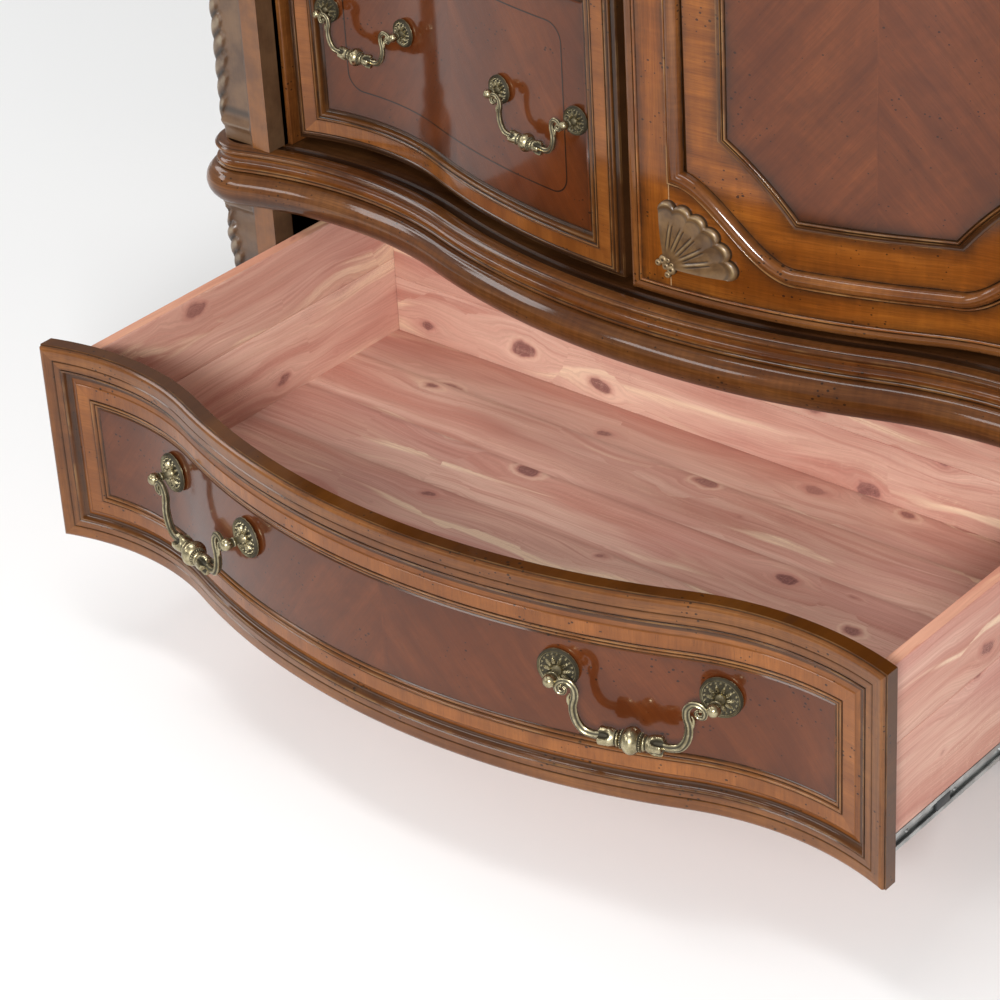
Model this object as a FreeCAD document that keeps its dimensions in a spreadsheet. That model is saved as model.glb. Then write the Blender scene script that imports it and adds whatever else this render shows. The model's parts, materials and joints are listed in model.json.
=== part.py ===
import FreeCAD, Part
import math
import os
import re

import Sketcher
from FreeCAD import Placement, Rotation, Vector

# A serpentine-fronted armoire, in millimetres.  X runs from left to right, the front faces -Y and
# Z is up from the floor.  The origin lies on the floor, under the middle of the whole model as it
# stands with its wide bottom drawer pulled out.

DIMENSIONS = (
    # the serpentine plan of the fronts: a bow between two hollow ears
    ("front_span", 1050, "width of the bottom drawer's front"),
    ("bow_radius", 830, "radius of the bow, in plan"),
    ("ear_radius", 304, "radius of the hollow ears of the fronts, in plan"),
    ("crest_x", 425, "distance of each ear's deepest point from the middle"),
    # the plan of the case and its mouldings
    ("case_ear_radius", 500, "radius of the hollow ears of the mouldings, in plan"),
    ("case_half", 597, "half width of the case"),
    ("corner_radius", 15, "plan radius of the case's front corners"),
    ("board", 20, "thickness of the case's boards"),
    ("back_face", 500, "outer face of the back panel, from the origin"),
    ("back_board", 10, "thickness of the back panel"),
    ("post_inner", 531, "inner faces of the corner posts, from the middle"),
    ("post_front", -49, "front faces of the corner posts"),
    ("post_back", 11, "back faces of the corner posts"),
    ("partition_front", -70, "front edge of the centre partition"),
    # heights
    ("base_height", 95, "top of the base brackets"),
    ("case_floor", 132, "top of the bottom board"),
    ("waist_low", 373, "underside of the waist moulding"),
    ("waist_top", 441, "top of the waist moulding and of the waist board"),
    ("cornice_low", 1440, "underside of the cornice"),
    ("cornice_top", 1510, "top of the cornice"),
    ("top_board_edge", 52, "overhang of the top board past the case"),
    # the bottom drawer
    ("closed_datum", -52, "face of the closed bottom drawer at its ends"),
    ("pull_out", 378.5, "how far the bottom drawer stands open at rest"),
    ("front_low", 137, "bottom edge of the bottom drawer's front"),
    ("front_height", 230, "height of the bottom drawer's front"),
    ("front_thick", 20, "thickness of the drawer fronts"),
    ("box_half", 506.5, "outer faces of the bottom drawer's sides"),
    ("side_thick", 14.7, "thickness of the bottom drawer's sides"),
    ("side_low", 165, "bottom edge of the bottom drawer's sides"),
    ("side_high", 347.5, "top edge of the bottom drawer's sides"),
    ("box_back", 524.5, "back of the bottom drawer, behind the ends of its face"),
    ("floor_low", 166, "underside of the bottom drawer's bottom board"),
    ("floor_thick", 6, "thickness of the drawer bottoms"),
    # the steel slides of the bottom drawer
    ("slide_low", 145, "lower edge of the slides"),
    ("slide_height", 19.5, "height of the slides"),
    ("slide_long", 480, "length of each slide member"),
    ("slide_thick", 4.4, "width of each slide member"),
    ("slide_start", 30, "start of the slides behind the ends of the drawer's face"),
    # the upper drawers and the door
    ("upper_datum", -31, "face of the upper fronts at the ends of the span"),
    ("upper_low", 447, "lower edge of the lowest upper front"),
    ("pitch", 330, "height from one upper drawer to the next"),
    ("upper_height", 326, "height of an upper drawer's front"),
    ("upper_outer", 522, "outer edge of the upper fronts, from the middle"),
    ("upper_inner", 16, "inner edge of the upper drawers' fronts, from the middle"),
    ("door_inner", -3, "free edge of the door, from the middle"),
    ("upper_box_outer", 515, "outer face of an upper drawer's outer side"),
    ("upper_box_inner", 31, "outer face of an upper drawer's inner side"),
    ("upper_side", 12, "thickness of an upper drawer's sides"),
    ("upper_box_back", 457, "back face of the closed upper drawers"),
    ("upper_box_rise", 22, "start of an upper drawer's box above its front's lower edge"),
    ("upper_box_high", 222, "height of an upper drawer's box"),
    ("door_high", 986, "height of the door"),
    ("door_thick", 22, "thickness of the door"),
    ("stile", 55, "width of the door's stiles and rails"),
    # hardware
    ("pull_reach", 78.5, "half the distance between a pull's two posts"),
    ("pull_stand", 22, "distance of a pull's pivots from the face"),
    ("pull_drop", 49, "drop of the bail below its pivots"),
    ("bail_half", 67, "half width of the bail at its pivots"),
    ("bail_thick", 4, "radius of the bail's rod"),
    ("bail_bead", 13, "radius of the bead in the middle of the bail"),
    ("rosette", 21, "radius of the pulls' rosettes"),
    ("small_pull", 0.72, "size of the upper drawers' pulls, as a share of the wide drawer's"),
    ("pin", 2, "radius of the pivot pins"),
    ("pin_play", 0.05, "radial play of the pivot pins"),
    ("hinge_x", 525, "axis of the door's hinges, from the middle"),
    ("hinge_y", -38, "axis of the door's hinges, from the origin"),
)

UPPER_DRAWERS = 3
PULL_X_BOTTOM = (-271.5, 271.5)
PULL_X_UPPER = (-414, -124)
PULL_Z_BOTTOM = 135
PULL_Z_UPPER = 160
DOOR_PULL_X = 24
DOOR_PULL_Z = 940
HINGE_HEIGHTS = (560, 940, 1320)
SHELL_INSET = 35
SHELL_RADIUS = 72
SHELF_HEIGHTS = (770, 1100)
TALL = 1700
BEYOND = 700

# the base: brackets with arched lower edges round four blocks
BRACKET_THICK = 20
BRACKET_SPLIT = 30
ARCH_HALF = 360
ARCH_RADIUS = 55
SIDE_ARCH = (150, 380)
FOOT_BLOCK_X = (520, 590)
FOOT_BLOCK_DEPTHS = (("front", ("-26", "44")), ("back", ("433", "back_face")))
# how far the pilasters stand out beside and before the corner posts
LOWER_PILASTER = (21, 18)
UPPER_PILASTER = (12, 14)
WAIST_BOARD = 22
RAIL_DROP = 4
# the upper drawers' runners and rails
RUNNER_INSET = 50
RUNNER_EDGE = 500
RAIL_DEPTH = 46
SHELF_PIN_DEPTHS = (70, 430)
SHELF_PIN_RADIUS = 3
SHELF_PIN_LONG = 12
# turned parts of a full-size pull
ROSETTE_THICK = 4
POST_RADIUS = 4
KNUCKLE_RADIUS = 6.5
EYE_RADIUS = 4.6
COLLAR_RADIUS = 8.5
COLLAR_START = 12
COLLAR_LONG = 18
# the door's raised carving, its hinges and its drop pull
PANEL_SINK = 2
PANEL_BACK = 16
SHELL_RISE = 7
HINGE_HALF = 35
KNUCKLE_LONG = 23
BARREL_RADIUS = 4
LEAF_DEPTH = 28
DROP_STAND = 16
DROP_EAR_X = 11

doc = FreeCAD.newDocument("armoire")
sheet = doc.addObject("Spreadsheet::Sheet", "Dims")
for row, (alias, number, note) in enumerate(DIMENSIONS, start=1):
    sheet.set("A%d" % row, note)
    sheet.set("B%d" % row, str(number))
    sheet.setAlias("B%d" % row, alias)
doc.recompute()

ALIASES = re.compile(r"\b(%s)\b" % "|".join(alias for alias, _, _ in DIMENSIONS))
nodes = []


def dim(alias):
    """The number in the spreadsheet's cell."""
    return float(getattr(sheet, alias))


def bind(item, prop, expression):
    """Bind a property to an expression written with the spreadsheet's aliases."""
    item.setExpression(prop, ALIASES.sub(r"Dims.\1", str(expression)))


def node(item):
    """Mark a document object as one of the armoire's pieces."""
    item.Label = item.Name
    nodes.append(item)
    return item


# ------------------------------------------------------------------ primitives and booleans

def box(name, x_range, y_range, z_range):
    """A rectangular block between two expressions along each axis."""
    item = doc.addObject("Part::Box", name)
    for side, letter, (low, high) in zip(("Length", "Width", "Height"), "xyz",
                                         (x_range, y_range, z_range)):
        bind(item, side, "(%s) - (%s)" % (high, low))
        bind(item, "Placement.Base.%s" % letter, low)
    return item


def cylinder(name, radius, length, start, direction):
    """A round bar from a start point along a direction."""
    item = doc.addObject("Part::Cylinder", name)
    bind(item, "Radius", radius)
    bind(item, "Height", length)
    item.Placement = Placement(Vector(*start), Rotation(Vector(0, 0, 1), Vector(*direction)))
    return item


def sphere(name, radius, centre, poles=(1, 0, 0)):
    """A ball about a centre, with its poles along the bar that runs through it."""
    item = doc.addObject("Part::Sphere", name)
    bind(item, "Radius", radius)
    item.Placement = Placement(Vector(*centre), Rotation(Vector(0, 0, 1), Vector(*poles)))
    return item


def cut(name, base, tool):
    """The base with the tool taken out of it."""
    item = doc.addObject("Part::Cut", name)
    item.Base, item.Tool = base, tool
    return item


def common(name, base, tool):
    """What the base and the tool share."""
    item = doc.addObject("Part::Common", name)
    item.Base, item.Tool = base, tool
    return item


def fuse(name, pieces):
    """One solid of several that overlap."""
    item = doc.addObject("Part::MultiFuse", name)
    item.Shapes = pieces
    return item


def group(name, pieces, placement=None):
    """Separate solids kept together under one name."""
    item = doc.addObject("Part::Compound", name)
    item.Links = pieces
    if placement:
        item.Placement = placement
    return item


# ------------------------------------------------------------------ the serpentine plan

def ear_crest():
    """How far an ear's deepest point lies behind the ends of the fronts."""
    reach = dim("front_span") / 2 - dim("crest_x")
    return dim("ear_radius") - math.sqrt(dim("ear_radius") ** 2 - reach ** 2)


def bow_centre():
    """The centre of the bow, behind the ends of the fronts."""
    between = math.sqrt((dim("ear_radius") + dim("bow_radius")) ** 2 - dim("crest_x") ** 2)
    return ear_crest() - dim("ear_radius") + between


BOW_CENTRE = ("ear_radius - sqrt(ear_radius ^ 2 - (front_span / 2 - crest_x) ^ 2)"
              " - ear_radius + sqrt((ear_radius + bow_radius) ^ 2 - crest_x ^ 2)")


def face_y(x):
    """Depth of the serpentine face at x, behind the ends of the fronts."""
    x = abs(x)
    turn = dim("crest_x") * dim("bow_radius") / (dim("ear_radius") + dim("bow_radius"))
    if x < turn:
        return bow_centre() - math.sqrt(dim("bow_radius") ** 2 - x ** 2)
    return ear_crest() - dim("ear_radius") + math.sqrt(
        dim("ear_radius") ** 2 - (x - dim("crest_x")) ** 2)


PLAN_DATUM = dim("upper_datum")


def serpentine_outline(name, ear, offset, corner=None):
    """A sketch of bow and ears with a straight or cornered outside, closed along the back.

    ear is the ears' radius, offset moves the line outwards, and corner is the radius of the case's
    front corners; without it the ears run on past the fronts and drop straight back.
    """
    sketch = doc.addObject("Sketcher::SketchObject", name)
    bow_r = dim("bow_radius") + offset
    ear_r = dim(ear) - offset
    centre = bow_centre()
    ear_y = centre - math.sqrt((bow_r + ear_r) ** 2 - dim("crest_x") ** 2)
    lean = math.atan2(ear_y - centre, dim("crest_x"))
    if corner is None:
        end_x = BEYOND - 50
        end_angle = math.acos((end_x - dim("crest_x")) / ear_r)
    else:
        end_x = dim("case_half") + offset
        corner_r = dim(corner) + offset
        corner_x = end_x - corner_r
        end_angle = math.acos((corner_x - dim("crest_x")) / (ear_r + corner_r))
        corner_y = ear_y + (ear_r + corner_r) * math.sin(end_angle)
    axis = Vector(0, 0, 1)
    bow_circle = Part.Circle(Vector(0, centre, 0), axis, bow_r)
    bow = Part.ArcOfCircle(bow_circle, -math.pi - lean, lean)
    sketch.addGeometry(bow)
    for side in (1, -1):
        ear_circle = Part.Circle(Vector(side * dim("crest_x"), ear_y, 0), axis, ear_r)
        toward_bow = lean + math.pi
        if side > 0:
            arc = Part.ArcOfCircle(ear_circle, end_angle, toward_bow)
        else:
            arc = Part.ArcOfCircle(ear_circle, math.pi - toward_bow, math.pi - end_angle)
        sketch.addGeometry(arc)
    for index, ends in ((1, (2, 2)), (2, (1, 1))):
        sketch.addConstraint(Sketcher.Constraint("Tangent", 0, ends[0], index, ends[1]))
    sketch.addConstraint(Sketcher.Constraint("PointOnObject", 0, 3, -2))
    bound(sketch, "Radius", 0, None, bow_r, "bow_radius + %g" % offset)
    bound(sketch, "DistanceY", 0, 3, centre, BOW_CENTRE)
    for index, side in ((1, 1), (2, -1)):
        bound(sketch, "Radius", index, None, ear_r, "%s - %g" % (ear, offset))
        bound(sketch, "DistanceX", index, 3, side * dim("crest_x"), "%d * crest_x" % side)
    back = dim("back_face") - PLAN_DATUM
    far = [Vector(side * end_x, back, 0) for side in (1, -1)]
    if corner is None:
        start_y = ear_y + ear_r * math.sin(end_angle)
        outer = (1, 1), (2, 2)
    else:
        start_y = corner_y
        for index, side in ((3, 1), (4, -1)):
            circle = Part.Circle(Vector(side * corner_x, corner_y, 0), axis, corner_r)
            low, high = end_angle - math.pi, 0
            if side < 0:
                low, high = math.pi, 2 * math.pi - end_angle
            sketch.addGeometry(Part.ArcOfCircle(circle, low, high))
        sketch.addConstraint(Sketcher.Constraint("Tangent", 1, 1, 3, 1))
        sketch.addConstraint(Sketcher.Constraint("Tangent", 2, 2, 4, 2))
        bound(sketch, "Radius", 3, None, corner_r, "%s + %g" % (corner, offset))
        bound(sketch, "Radius", 4, None, corner_r, "%s + %g" % (corner, offset))
        outer = (3, 2), (4, 1)
    first_line = sketch.GeometryCount
    for (index, point), corner_point in zip(outer, far):
        start = Vector(corner_point.x, start_y, 0)
        line = sketch.addGeometry(Part.LineSegment(start, corner_point))
        kind = "Coincident" if corner is None else "Tangent"
        sketch.addConstraint(Sketcher.Constraint(kind, index, point, line, 1))
        if corner is None:
            sketch.addConstraint(Sketcher.Constraint("Vertical", line))
        bound(sketch, "DistanceX", line, 2, corner_point.x,
              "%g" % corner_point.x if corner is None else
              "%d * (case_half + %g)" % (math.copysign(1, corner_point.x), offset))
        bound(sketch, "DistanceY", line, 2, back, "back_face - (%g)" % PLAN_DATUM)
    return sketch, first_line


def bound(sketch, kind, index, point, value, expression):
    """Add a sized constraint and bind it to the spreadsheet."""
    if kind == "Radius":
        row = sketch.addConstraint(Sketcher.Constraint(kind, index, value))
    else:
        row = sketch.addConstraint(Sketcher.Constraint(kind, index, point, value))
    bind(sketch, "Constraints[%d]" % row, expression)


def slab(name, datum, offset, ear="ear_radius", corner=None):
    """Everything behind a serpentine face, as tall as the case, to cut boards and fronts from."""
    sketch, first_line = serpentine_outline(name + "_plan", ear, offset, corner)
    back = sketch.addGeometry(Part.LineSegment(sketch.getPoint(first_line, 2),
                                               sketch.getPoint(first_line + 1, 2)))
    sketch.addConstraint(Sketcher.Constraint("Coincident", first_line, 2, back, 1))
    sketch.addConstraint(Sketcher.Constraint("Coincident", first_line + 1, 2, back, 2))
    bind(sketch, "Placement.Base.y", datum)
    item = doc.addObject("Part::Extrusion", name)
    item.Base = sketch
    item.DirMode = "Custom"
    item.Dir = Vector(0, 0, 1)
    item.LengthFwd = TALL
    item.Solid = True
    return item


def front_plate(name, face, back, x_range, z_range):
    """A curved board between two slabs, trimmed to its width and height."""
    trim = box(name + "_trim", x_range, ("-%d" % BEYOND, str(BEYOND)), z_range)
    return common(name, cut(name + "_skin", face, back), trim)


# ------------------------------------------------------------------ mouldings

def moulding(name, foot, outline):
    """A moulding swept round the case's sides and front.

    outline lists the moulding's section from its lower back edge: (out, up) ends a straight run,
    and (out, up, mid_out, mid_up) ends an arc through the middle point.
    """
    path, _ = serpentine_outline(name + "_path", "case_ear_radius", 0, "corner_radius")
    bind(path, "Placement.Base.y", "upper_datum")
    section = doc.addObject("Sketcher::SketchObject", name + "_section")
    here = (0, 0)
    for step in list(outline) + [(0, 0)]:
        start, end = (Vector(-p[0], p[1], 0) for p in (here, step))
        if len(step) == 4:
            arc = Part.Arc(start, Vector(-step[2], step[3], 0), end)
            section.addGeometry(arc)
        else:
            section.addGeometry(Part.LineSegment(start, end))
        here = step[:2]
    section.Placement = Placement(Vector(0, 0, 0), Rotation(Vector(1, 0, 0), 90))
    bind(section, "Placement.Base.x", "-case_half")
    bind(section, "Placement.Base.y", "back_face")
    bind(section, "Placement.Base.z", foot)
    item = doc.addObject("Part::Sweep", name)
    item.Sections = [section]
    item.Spine = (path, ["Edge%d" % (i + 1) for i in range(path.GeometryCount)])
    item.Solid = True
    item.Frenet = False
    return item


WAIST_SECTION = ((25, 0), (29, 40, 41, 20), (28, 44), (25, 46), (21, 57, 21.5, 51),
                 (21.5, 68, 26.6, 62.5), (0, 68))
BASE_SECTION = ((24, 0), (38, 16, 40, 7), (34, 20), (22, 37, 25, 29), (0, 37))
CORNICE_SECTION = ((14, 0), (20, 12, 20, 5), (24, 16), (44, 46, 30, 36), (48, 50), (50, 70, 58, 60),
                   (0, 70))


# ------------------------------------------------------------------ the case

def build_case():
    """Base, boards, posts, panels and mouldings of the case."""
    plan = slab("case_plan", "upper_datum", 0, "case_ear_radius", "corner_radius")
    bracket_plan = slab("bracket_plan", "upper_datum", BRACKET_THICK, "case_ear_radius",
                        "corner_radius")
    top_plan = slab("top_plan", "upper_datum", dim("top_board_edge"), "case_ear_radius",
                    "corner_radius")
    wide = ("-%d" % BEYOND, str(BEYOND))

    ring = cut("bracket_ring", bracket_plan, plan)
    under = ("-60", str(ARCH_RADIUS))
    ends = [cylinder("arch_%d" % (side > 0), ARCH_RADIUS, BEYOND, (side * ARCH_HALF, -BEYOND, 0),
                     (0, 1, 0)) for side in (-1, 1)]
    arch = fuse("arch", ends + [box("arch_middle", (str(-ARCH_HALF), str(ARCH_HALF)),
                                    (wide[0], str(BRACKET_SPLIT)), under)])
    front = common("bracket_front", ring, box("bracket_front_trim", wide,
                                              (wide[0], str(BRACKET_SPLIT)), ("0", "base_height")))
    node(cut("base_front_bracket", front, arch))
    ends = [cylinder("side_arch_%d" % depth, ARCH_RADIUS, 2 * BEYOND, (-BEYOND, depth, 0),
                     (1, 0, 0)) for depth in SIDE_ARCH]
    side_arch = fuse("side_arch", ends + [box("side_arch_middle", wide, map(str, SIDE_ARCH), under)])
    sides = common("bracket_sides", ring, box("bracket_sides_trim", wide,
                                              (str(BRACKET_SPLIT), "back_face"),
                                              ("0", "base_height")))
    node(cut("base_side_brackets", sides, side_arch))
    blocks = []
    for side in (-1, 1):
        for place, depth in FOOT_BLOCK_DEPTHS:
            span = sorted(side * edge for edge in FOOT_BLOCK_X)
            blocks.append(box("foot_block_%s_%d" % (place, side > 0), map(str, span), depth,
                              ("0", "case_floor - board")))
    node(group("foot_blocks", blocks))
    node(moulding("base_moulding", "base_height", BASE_SECTION))
    node(common("bottom_board", plan, box("bottom_board_trim", wide, wide,
                                          ("case_floor - board", "case_floor"))))
    height = ("case_floor", "cornice_top")
    for name, side in (("side_panel_left", -1), ("side_panel_right", 1)):
        edges = ["%d * case_half" % side, "%d * (case_half - board)" % side]
        node(box(name, edges if side < 0 else edges[::-1], ("post_back", "back_face"), height))
    node(box("back_panel", ("board - case_half", "case_half - board"),
             ("back_face - back_board", "back_face"), height))
    posts = []
    for name, x_range in (("post_left", ("-case_half", "-post_inner")),
                          ("post_right", ("post_inner", "case_half"))):
        block = box(name + "_block", x_range, ("-%d" % BEYOND, "post_back"), height)
        posts.append(common(name, plan, block))
    node(group("corner_posts", posts))
    node(group("lower_pilasters", [
        pilaster("lower", side, plan, *LOWER_PILASTER, ("case_floor", "waist_low"))
        for side in (-1, 1)]))
    node(group("upper_pilasters", [
        pilaster("upper", side, plan, *UPPER_PILASTER, ("waist_top", "cornice_low"))
        for side in (-1, 1)]))
    inside = box("waist_trim", ("board - case_half", "case_half - board"),
                 ("-%d" % BEYOND, "back_face - back_board"),
                 ("waist_top - %d" % WAIST_BOARD, "waist_top"))
    notch = group("post_notches", [
        box("post_notch_left", ("-%d" % BEYOND, "-post_inner"), ("-%d" % BEYOND, "post_back"),
            ("0", str(TALL))),
        box("post_notch_right", ("post_inner", str(BEYOND)), ("-%d" % BEYOND, "post_back"),
            ("0", str(TALL)))])
    node(cut("waist_board", common("waist_slab", plan, inside), notch))
    node(moulding("waist_moulding", "waist_low", WAIST_SECTION))
    node(box("centre_partition", ("-board / 2", "board / 2"),
             ("partition_front", "back_face - back_board"),
             ("waist_top", "cornice_top")))
    height = ("cornice_low - %d" % RAIL_DROP, "cornice_top")
    node(group("top_rails", [
        box("top_rail_left", ("-post_inner", "-board / 2"), ("post_back", "post_back + board"),
            height),
        box("top_rail_right", ("board / 2", "post_inner"), ("post_back", "post_back + board"),
            height)]))
    node(moulding("cornice_moulding", "cornice_low", CORNICE_SECTION))
    node(common("top_board", top_plan, box("top_board_trim", wide, wide,
                                           ("cornice_top", "cornice_top + board"))))


def pilaster(place, side, plan, beside, before, z_range):
    """An angle of timber fitted round the outside of a corner post, with a rounded corner."""
    name = "%s_pilaster_%d" % (place, side > 0)
    outer_x = side * (dim("case_half") + beside)
    outer_y = dim("post_front") - before
    x_range = ["%d * post_inner" % side, "%d * (case_half + %d)" % (side, beside)]
    skin = box(name + "_skin", x_range if side > 0 else x_range[::-1],
               ("post_front - %d" % before, "post_back"), z_range)
    angle = cut(name + "_angle", skin, plan)
    doc.recompute()
    rounded = doc.addObject("Part::Fillet", name)
    rounded.Base = angle
    for index, edge in enumerate(angle.Shape.Edges, start=1):
        middle = edge.CenterOfMass
        if abs(middle.x - outer_x) < 0.1 and abs(middle.y - outer_y) < 0.1:
            rounded.Edges = [(index, before - 4.0, before - 4.0)]
    return rounded


def build_inside():
    """Rails, runners, shelves and their pins."""
    frames = []
    for level in range(UPPER_DRAWERS):
        low = "upper_low + %d * pitch" % level
        top = "%s + upper_box_rise - 0.3" % low
        bottom = "waist_top" if level == 0 else "%s + 2" % low
        depth = ("post_back + %d" % RUNNER_INSET, "back_face - back_board")
        frames.append(box("runner_outer_%d" % level, ("board - case_half", str(-RUNNER_EDGE)), depth,
                          (bottom, top)))
        frames.append(box("runner_inner_%d" % level, ("-upper_box_inner - 15", "-board / 2"), depth,
                          (bottom, top)))
        if level:
            frames.append(box("rail_%d" % level, ("-post_inner", "-board / 2"),
                              ("post_back", "post_back + %d" % RAIL_DEPTH),
                              (low + " - 12", low + " + 8")))
    node(group("drawer_rails_and_runners", frames))
    shelves, pins = [], []
    for index, height in enumerate(SHELF_HEIGHTS):
        shelves.append(box("shelf_%d" % index, ("board / 2 + 1", "case_half - board - 1"),
                           ("post_back + 4", "back_face - back_board - 3"),
                           (str(height), "%d + board" % height)))
        for depth in SHELF_PIN_DEPTHS:
            for edge, turn in ((dim("board") / 2, 1), (dim("case_half") - dim("board"), -1)):
                pins.append(cylinder("shelf_pin_%d_%d_%d" % (index, depth, turn > 0),
                                     SHELF_PIN_RADIUS, SHELF_PIN_LONG,
                                     (edge, depth, height - SHELF_PIN_RADIUS), (turn, 0, 0)))
    node(group("shelves", shelves))
    node(group("shelf_pins", pins))


# ------------------------------------------------------------------ pulls

def pull_mounts(name, tilts, size):
    """The two rosettes of a pull with their posts and drilled knuckles, about the pull's middle.

    Local X runs along the pull, -Y points away from the face and Z is up from the pivots.  Each
    rosette is turned by its own tilt, in degrees, to lie flat on the serpentine face.
    """
    halves = []
    stand = dim("pull_stand") * size
    for side, tilt in zip((-1, 1), tilts):
        tag = "%s_%d" % (name, side > 0)
        x = side * dim("pull_reach") * size
        out = Vector(math.sin(math.radians(tilt)), -math.cos(math.radians(tilt)), 0)
        solid = fuse(tag + "_body", [
            cylinder(tag + "_rosette", "rosette * %g" % size, ROSETTE_THICK,
                     Vector(x, 0, 0) + out * 1.2, out),
            cylinder(tag + "_boss", 7 * size, ROSETTE_THICK, Vector(x, 0, 0) + out * 0.4, out),
            cylinder(tag + "_post", POST_RADIUS * size, stand - ROSETTE_THICK,
                     (x, -ROSETTE_THICK, 0), (0, -1, 0)),
            sphere(tag + "_knuckle", KNUCKLE_RADIUS * size, (x, -stand, 0))])
        drill = cylinder(tag + "_drill", "pin + pin_play", 30, (x - 15, -stand, 0), (1, 0, 0))
        halves.append(cut(tag, solid, drill))
    return halves


def bail(name, size):
    """The swinging handle: a rod bent into a flat bow with a bead in its middle."""
    half, drop, stand, bend = (size * length for length in (
        dim("bail_half"), dim("pull_drop"), -dim("pull_stand"), 22.0))
    foot = 0.76 * half
    lean = Vector(foot - half, -drop, 0).normalize()
    trim = bend * math.tan(math.acos(-lean.x) / 2)
    path = doc.addObject("Sketcher::SketchObject", name + "_path")
    ends = {}
    for side in (-1, 1):
        corner = Vector(side * foot, -drop, 0)
        down = Vector(side * lean.x, lean.y, 0)
        arc_start = corner - down * trim
        arc_end = Vector(corner.x - side * trim, -drop, 0)
        centre = Vector(arc_end.x, -drop + bend, 0)
        middle = centre + (corner - centre).normalize() * bend
        ends[side] = (Vector(side * half, 0, 0), arc_start, middle, arc_end)
    path.addGeometry(Part.LineSegment(ends[-1][0], ends[-1][1]))
    path.addGeometry(Part.Arc(ends[-1][1], ends[-1][2], ends[-1][3]))
    path.addGeometry(Part.LineSegment(ends[-1][3], ends[1][3]))
    path.addGeometry(Part.Arc(ends[1][3], ends[1][2], ends[1][1]))
    path.addGeometry(Part.LineSegment(ends[1][1], ends[1][0]))
    path.Placement = Placement(Vector(0, stand, 0), Rotation(Vector(1, 0, 0), 90))
    ring = doc.addObject("Part::Circle", name + "_section")
    bind(ring, "Radius", "bail_thick * %g" % size)
    into = Vector(ends[-1][1].x - ends[-1][0].x, 0, ends[-1][1].y)
    ring.Placement = Placement(Vector(-half, stand, 0), Rotation(Vector(0, 0, 1), into))
    rod = doc.addObject("Part::Sweep", name + "_rod")
    rod.Sections = [ring]
    rod.Spine = (path, ["Edge%d" % (i + 1) for i in range(5)])
    rod.Solid = True
    parts = [rod, sphere(name + "_bead", "bail_bead * %g" % size, (0, stand, -drop))]
    for side in (-1, 1):
        parts.append(sphere("%s_eye_%d" % (name, side > 0), EYE_RADIUS * size,
                            (side * half, stand, 0)))
        parts.append(cylinder("%s_pin_%d" % (name, side > 0), "pin", 17 * size,
                              (side * half, stand, 0), (side, 0, 0)))
        parts.append(cylinder("%s_collar_%d" % (name, side > 0), COLLAR_RADIUS * size,
                              COLLAR_LONG * size, (side * COLLAR_START * size, stand, -drop),
                              (side, 0, 0)))
    return fuse(name + "_body", parts)


def face_angle(x):
    """Slope of the serpentine face at x, in degrees."""
    step = 0.01
    return math.degrees(math.atan((face_y(x + step) - face_y(x - step)) / (2 * step)))


def seat(x, size):
    """How a pull sits at x with both posts on the face: its angle, depth and rosette tilts."""
    angle = 0.0
    for _ in range(4):
        run = dim("pull_reach") * size * math.cos(angle)
        angle = math.atan((face_y(x + run) - face_y(x - run)) / (2 * run))
    degrees = math.degrees(angle)
    depth = (face_y(x + run) + face_y(x - run)) / 2
    return degrees, depth, [face_angle(x + side * run) - degrees for side in (-1, 1)]


def hang_pulls(drawer, across, datum, height, size):
    """Give a drawer its pulls: one node of mounts and one bail for each pull."""
    mounts, bails = [], []
    for word, x in zip(("left", "right"), across):
        tag = "%s_%s" % (drawer, word)
        angle, depth, tilts = seat(x, size)
        place = Placement(Vector(x, datum + depth, height), Rotation(Vector(0, 0, 1), angle))
        mounts.append(group(tag + "_mounts", pull_mounts(tag + "_mount", tilts, size), place))
        bails.append(group("%s_bail_%s" % (drawer, word), [bail(tag + "_handle", size)], place))
        tell_pivot("%s_bail_%s" % (drawer, word), place, dim("pull_stand") * size)
    node(group(drawer + "_pull_mounts", mounts))
    for item in bails:
        node(item)


def tell_pivot(name, place, stand):
    """Print where a handle turns, and the direction of its pins."""
    pivot = place.multVec(Vector(0, -stand, 0))
    pins = place.Rotation.multVec(Vector(1, 0, 0))
    print("pivot", name, [round(c, 3) for c in pivot], [round(c, 6) for c in pins])


# ------------------------------------------------------------------ the bottom drawer

def build_bottom_drawer():
    """The wide cedar drawer at the foot of the case, standing open."""
    datum = "closed_datum - pull_out"
    face = slab("open_face", datum, 0)
    back = slab("open_back", datum, -dim("front_thick"))
    edge = ("-front_span / 2", "front_span / 2")
    node(front_plate("bottom_drawer_front", face, back, edge,
                     ("front_low", "front_low + front_height")))
    rear = "%s + box_back" % datum
    height = ("side_low", "side_high")
    for name, x_range in (("left", ("-box_half", "side_thick - box_half")),
                          ("right", ("box_half - side_thick", "box_half"))):
        block = box("bottom_drawer_block_" + name, x_range, (datum, rear), height)
        node(common("bottom_drawer_side_" + name, block, back))
    inner = ("side_thick - box_half", "box_half - side_thick")
    node(box("bottom_drawer_back", inner, (rear + " - side_thick", rear), height))
    floor = box("bottom_drawer_floor", inner, ("%s - 100" % datum, rear + " - side_thick"),
                ("floor_low", "floor_low + floor_thick"))
    node(common("bottom_drawer_bottom", floor, back))
    hang_pulls("bottom_drawer", PULL_X_BOTTOM, dim("closed_datum") - dim("pull_out"),
               dim("front_low") + PULL_Z_BOTTOM, 1)


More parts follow.
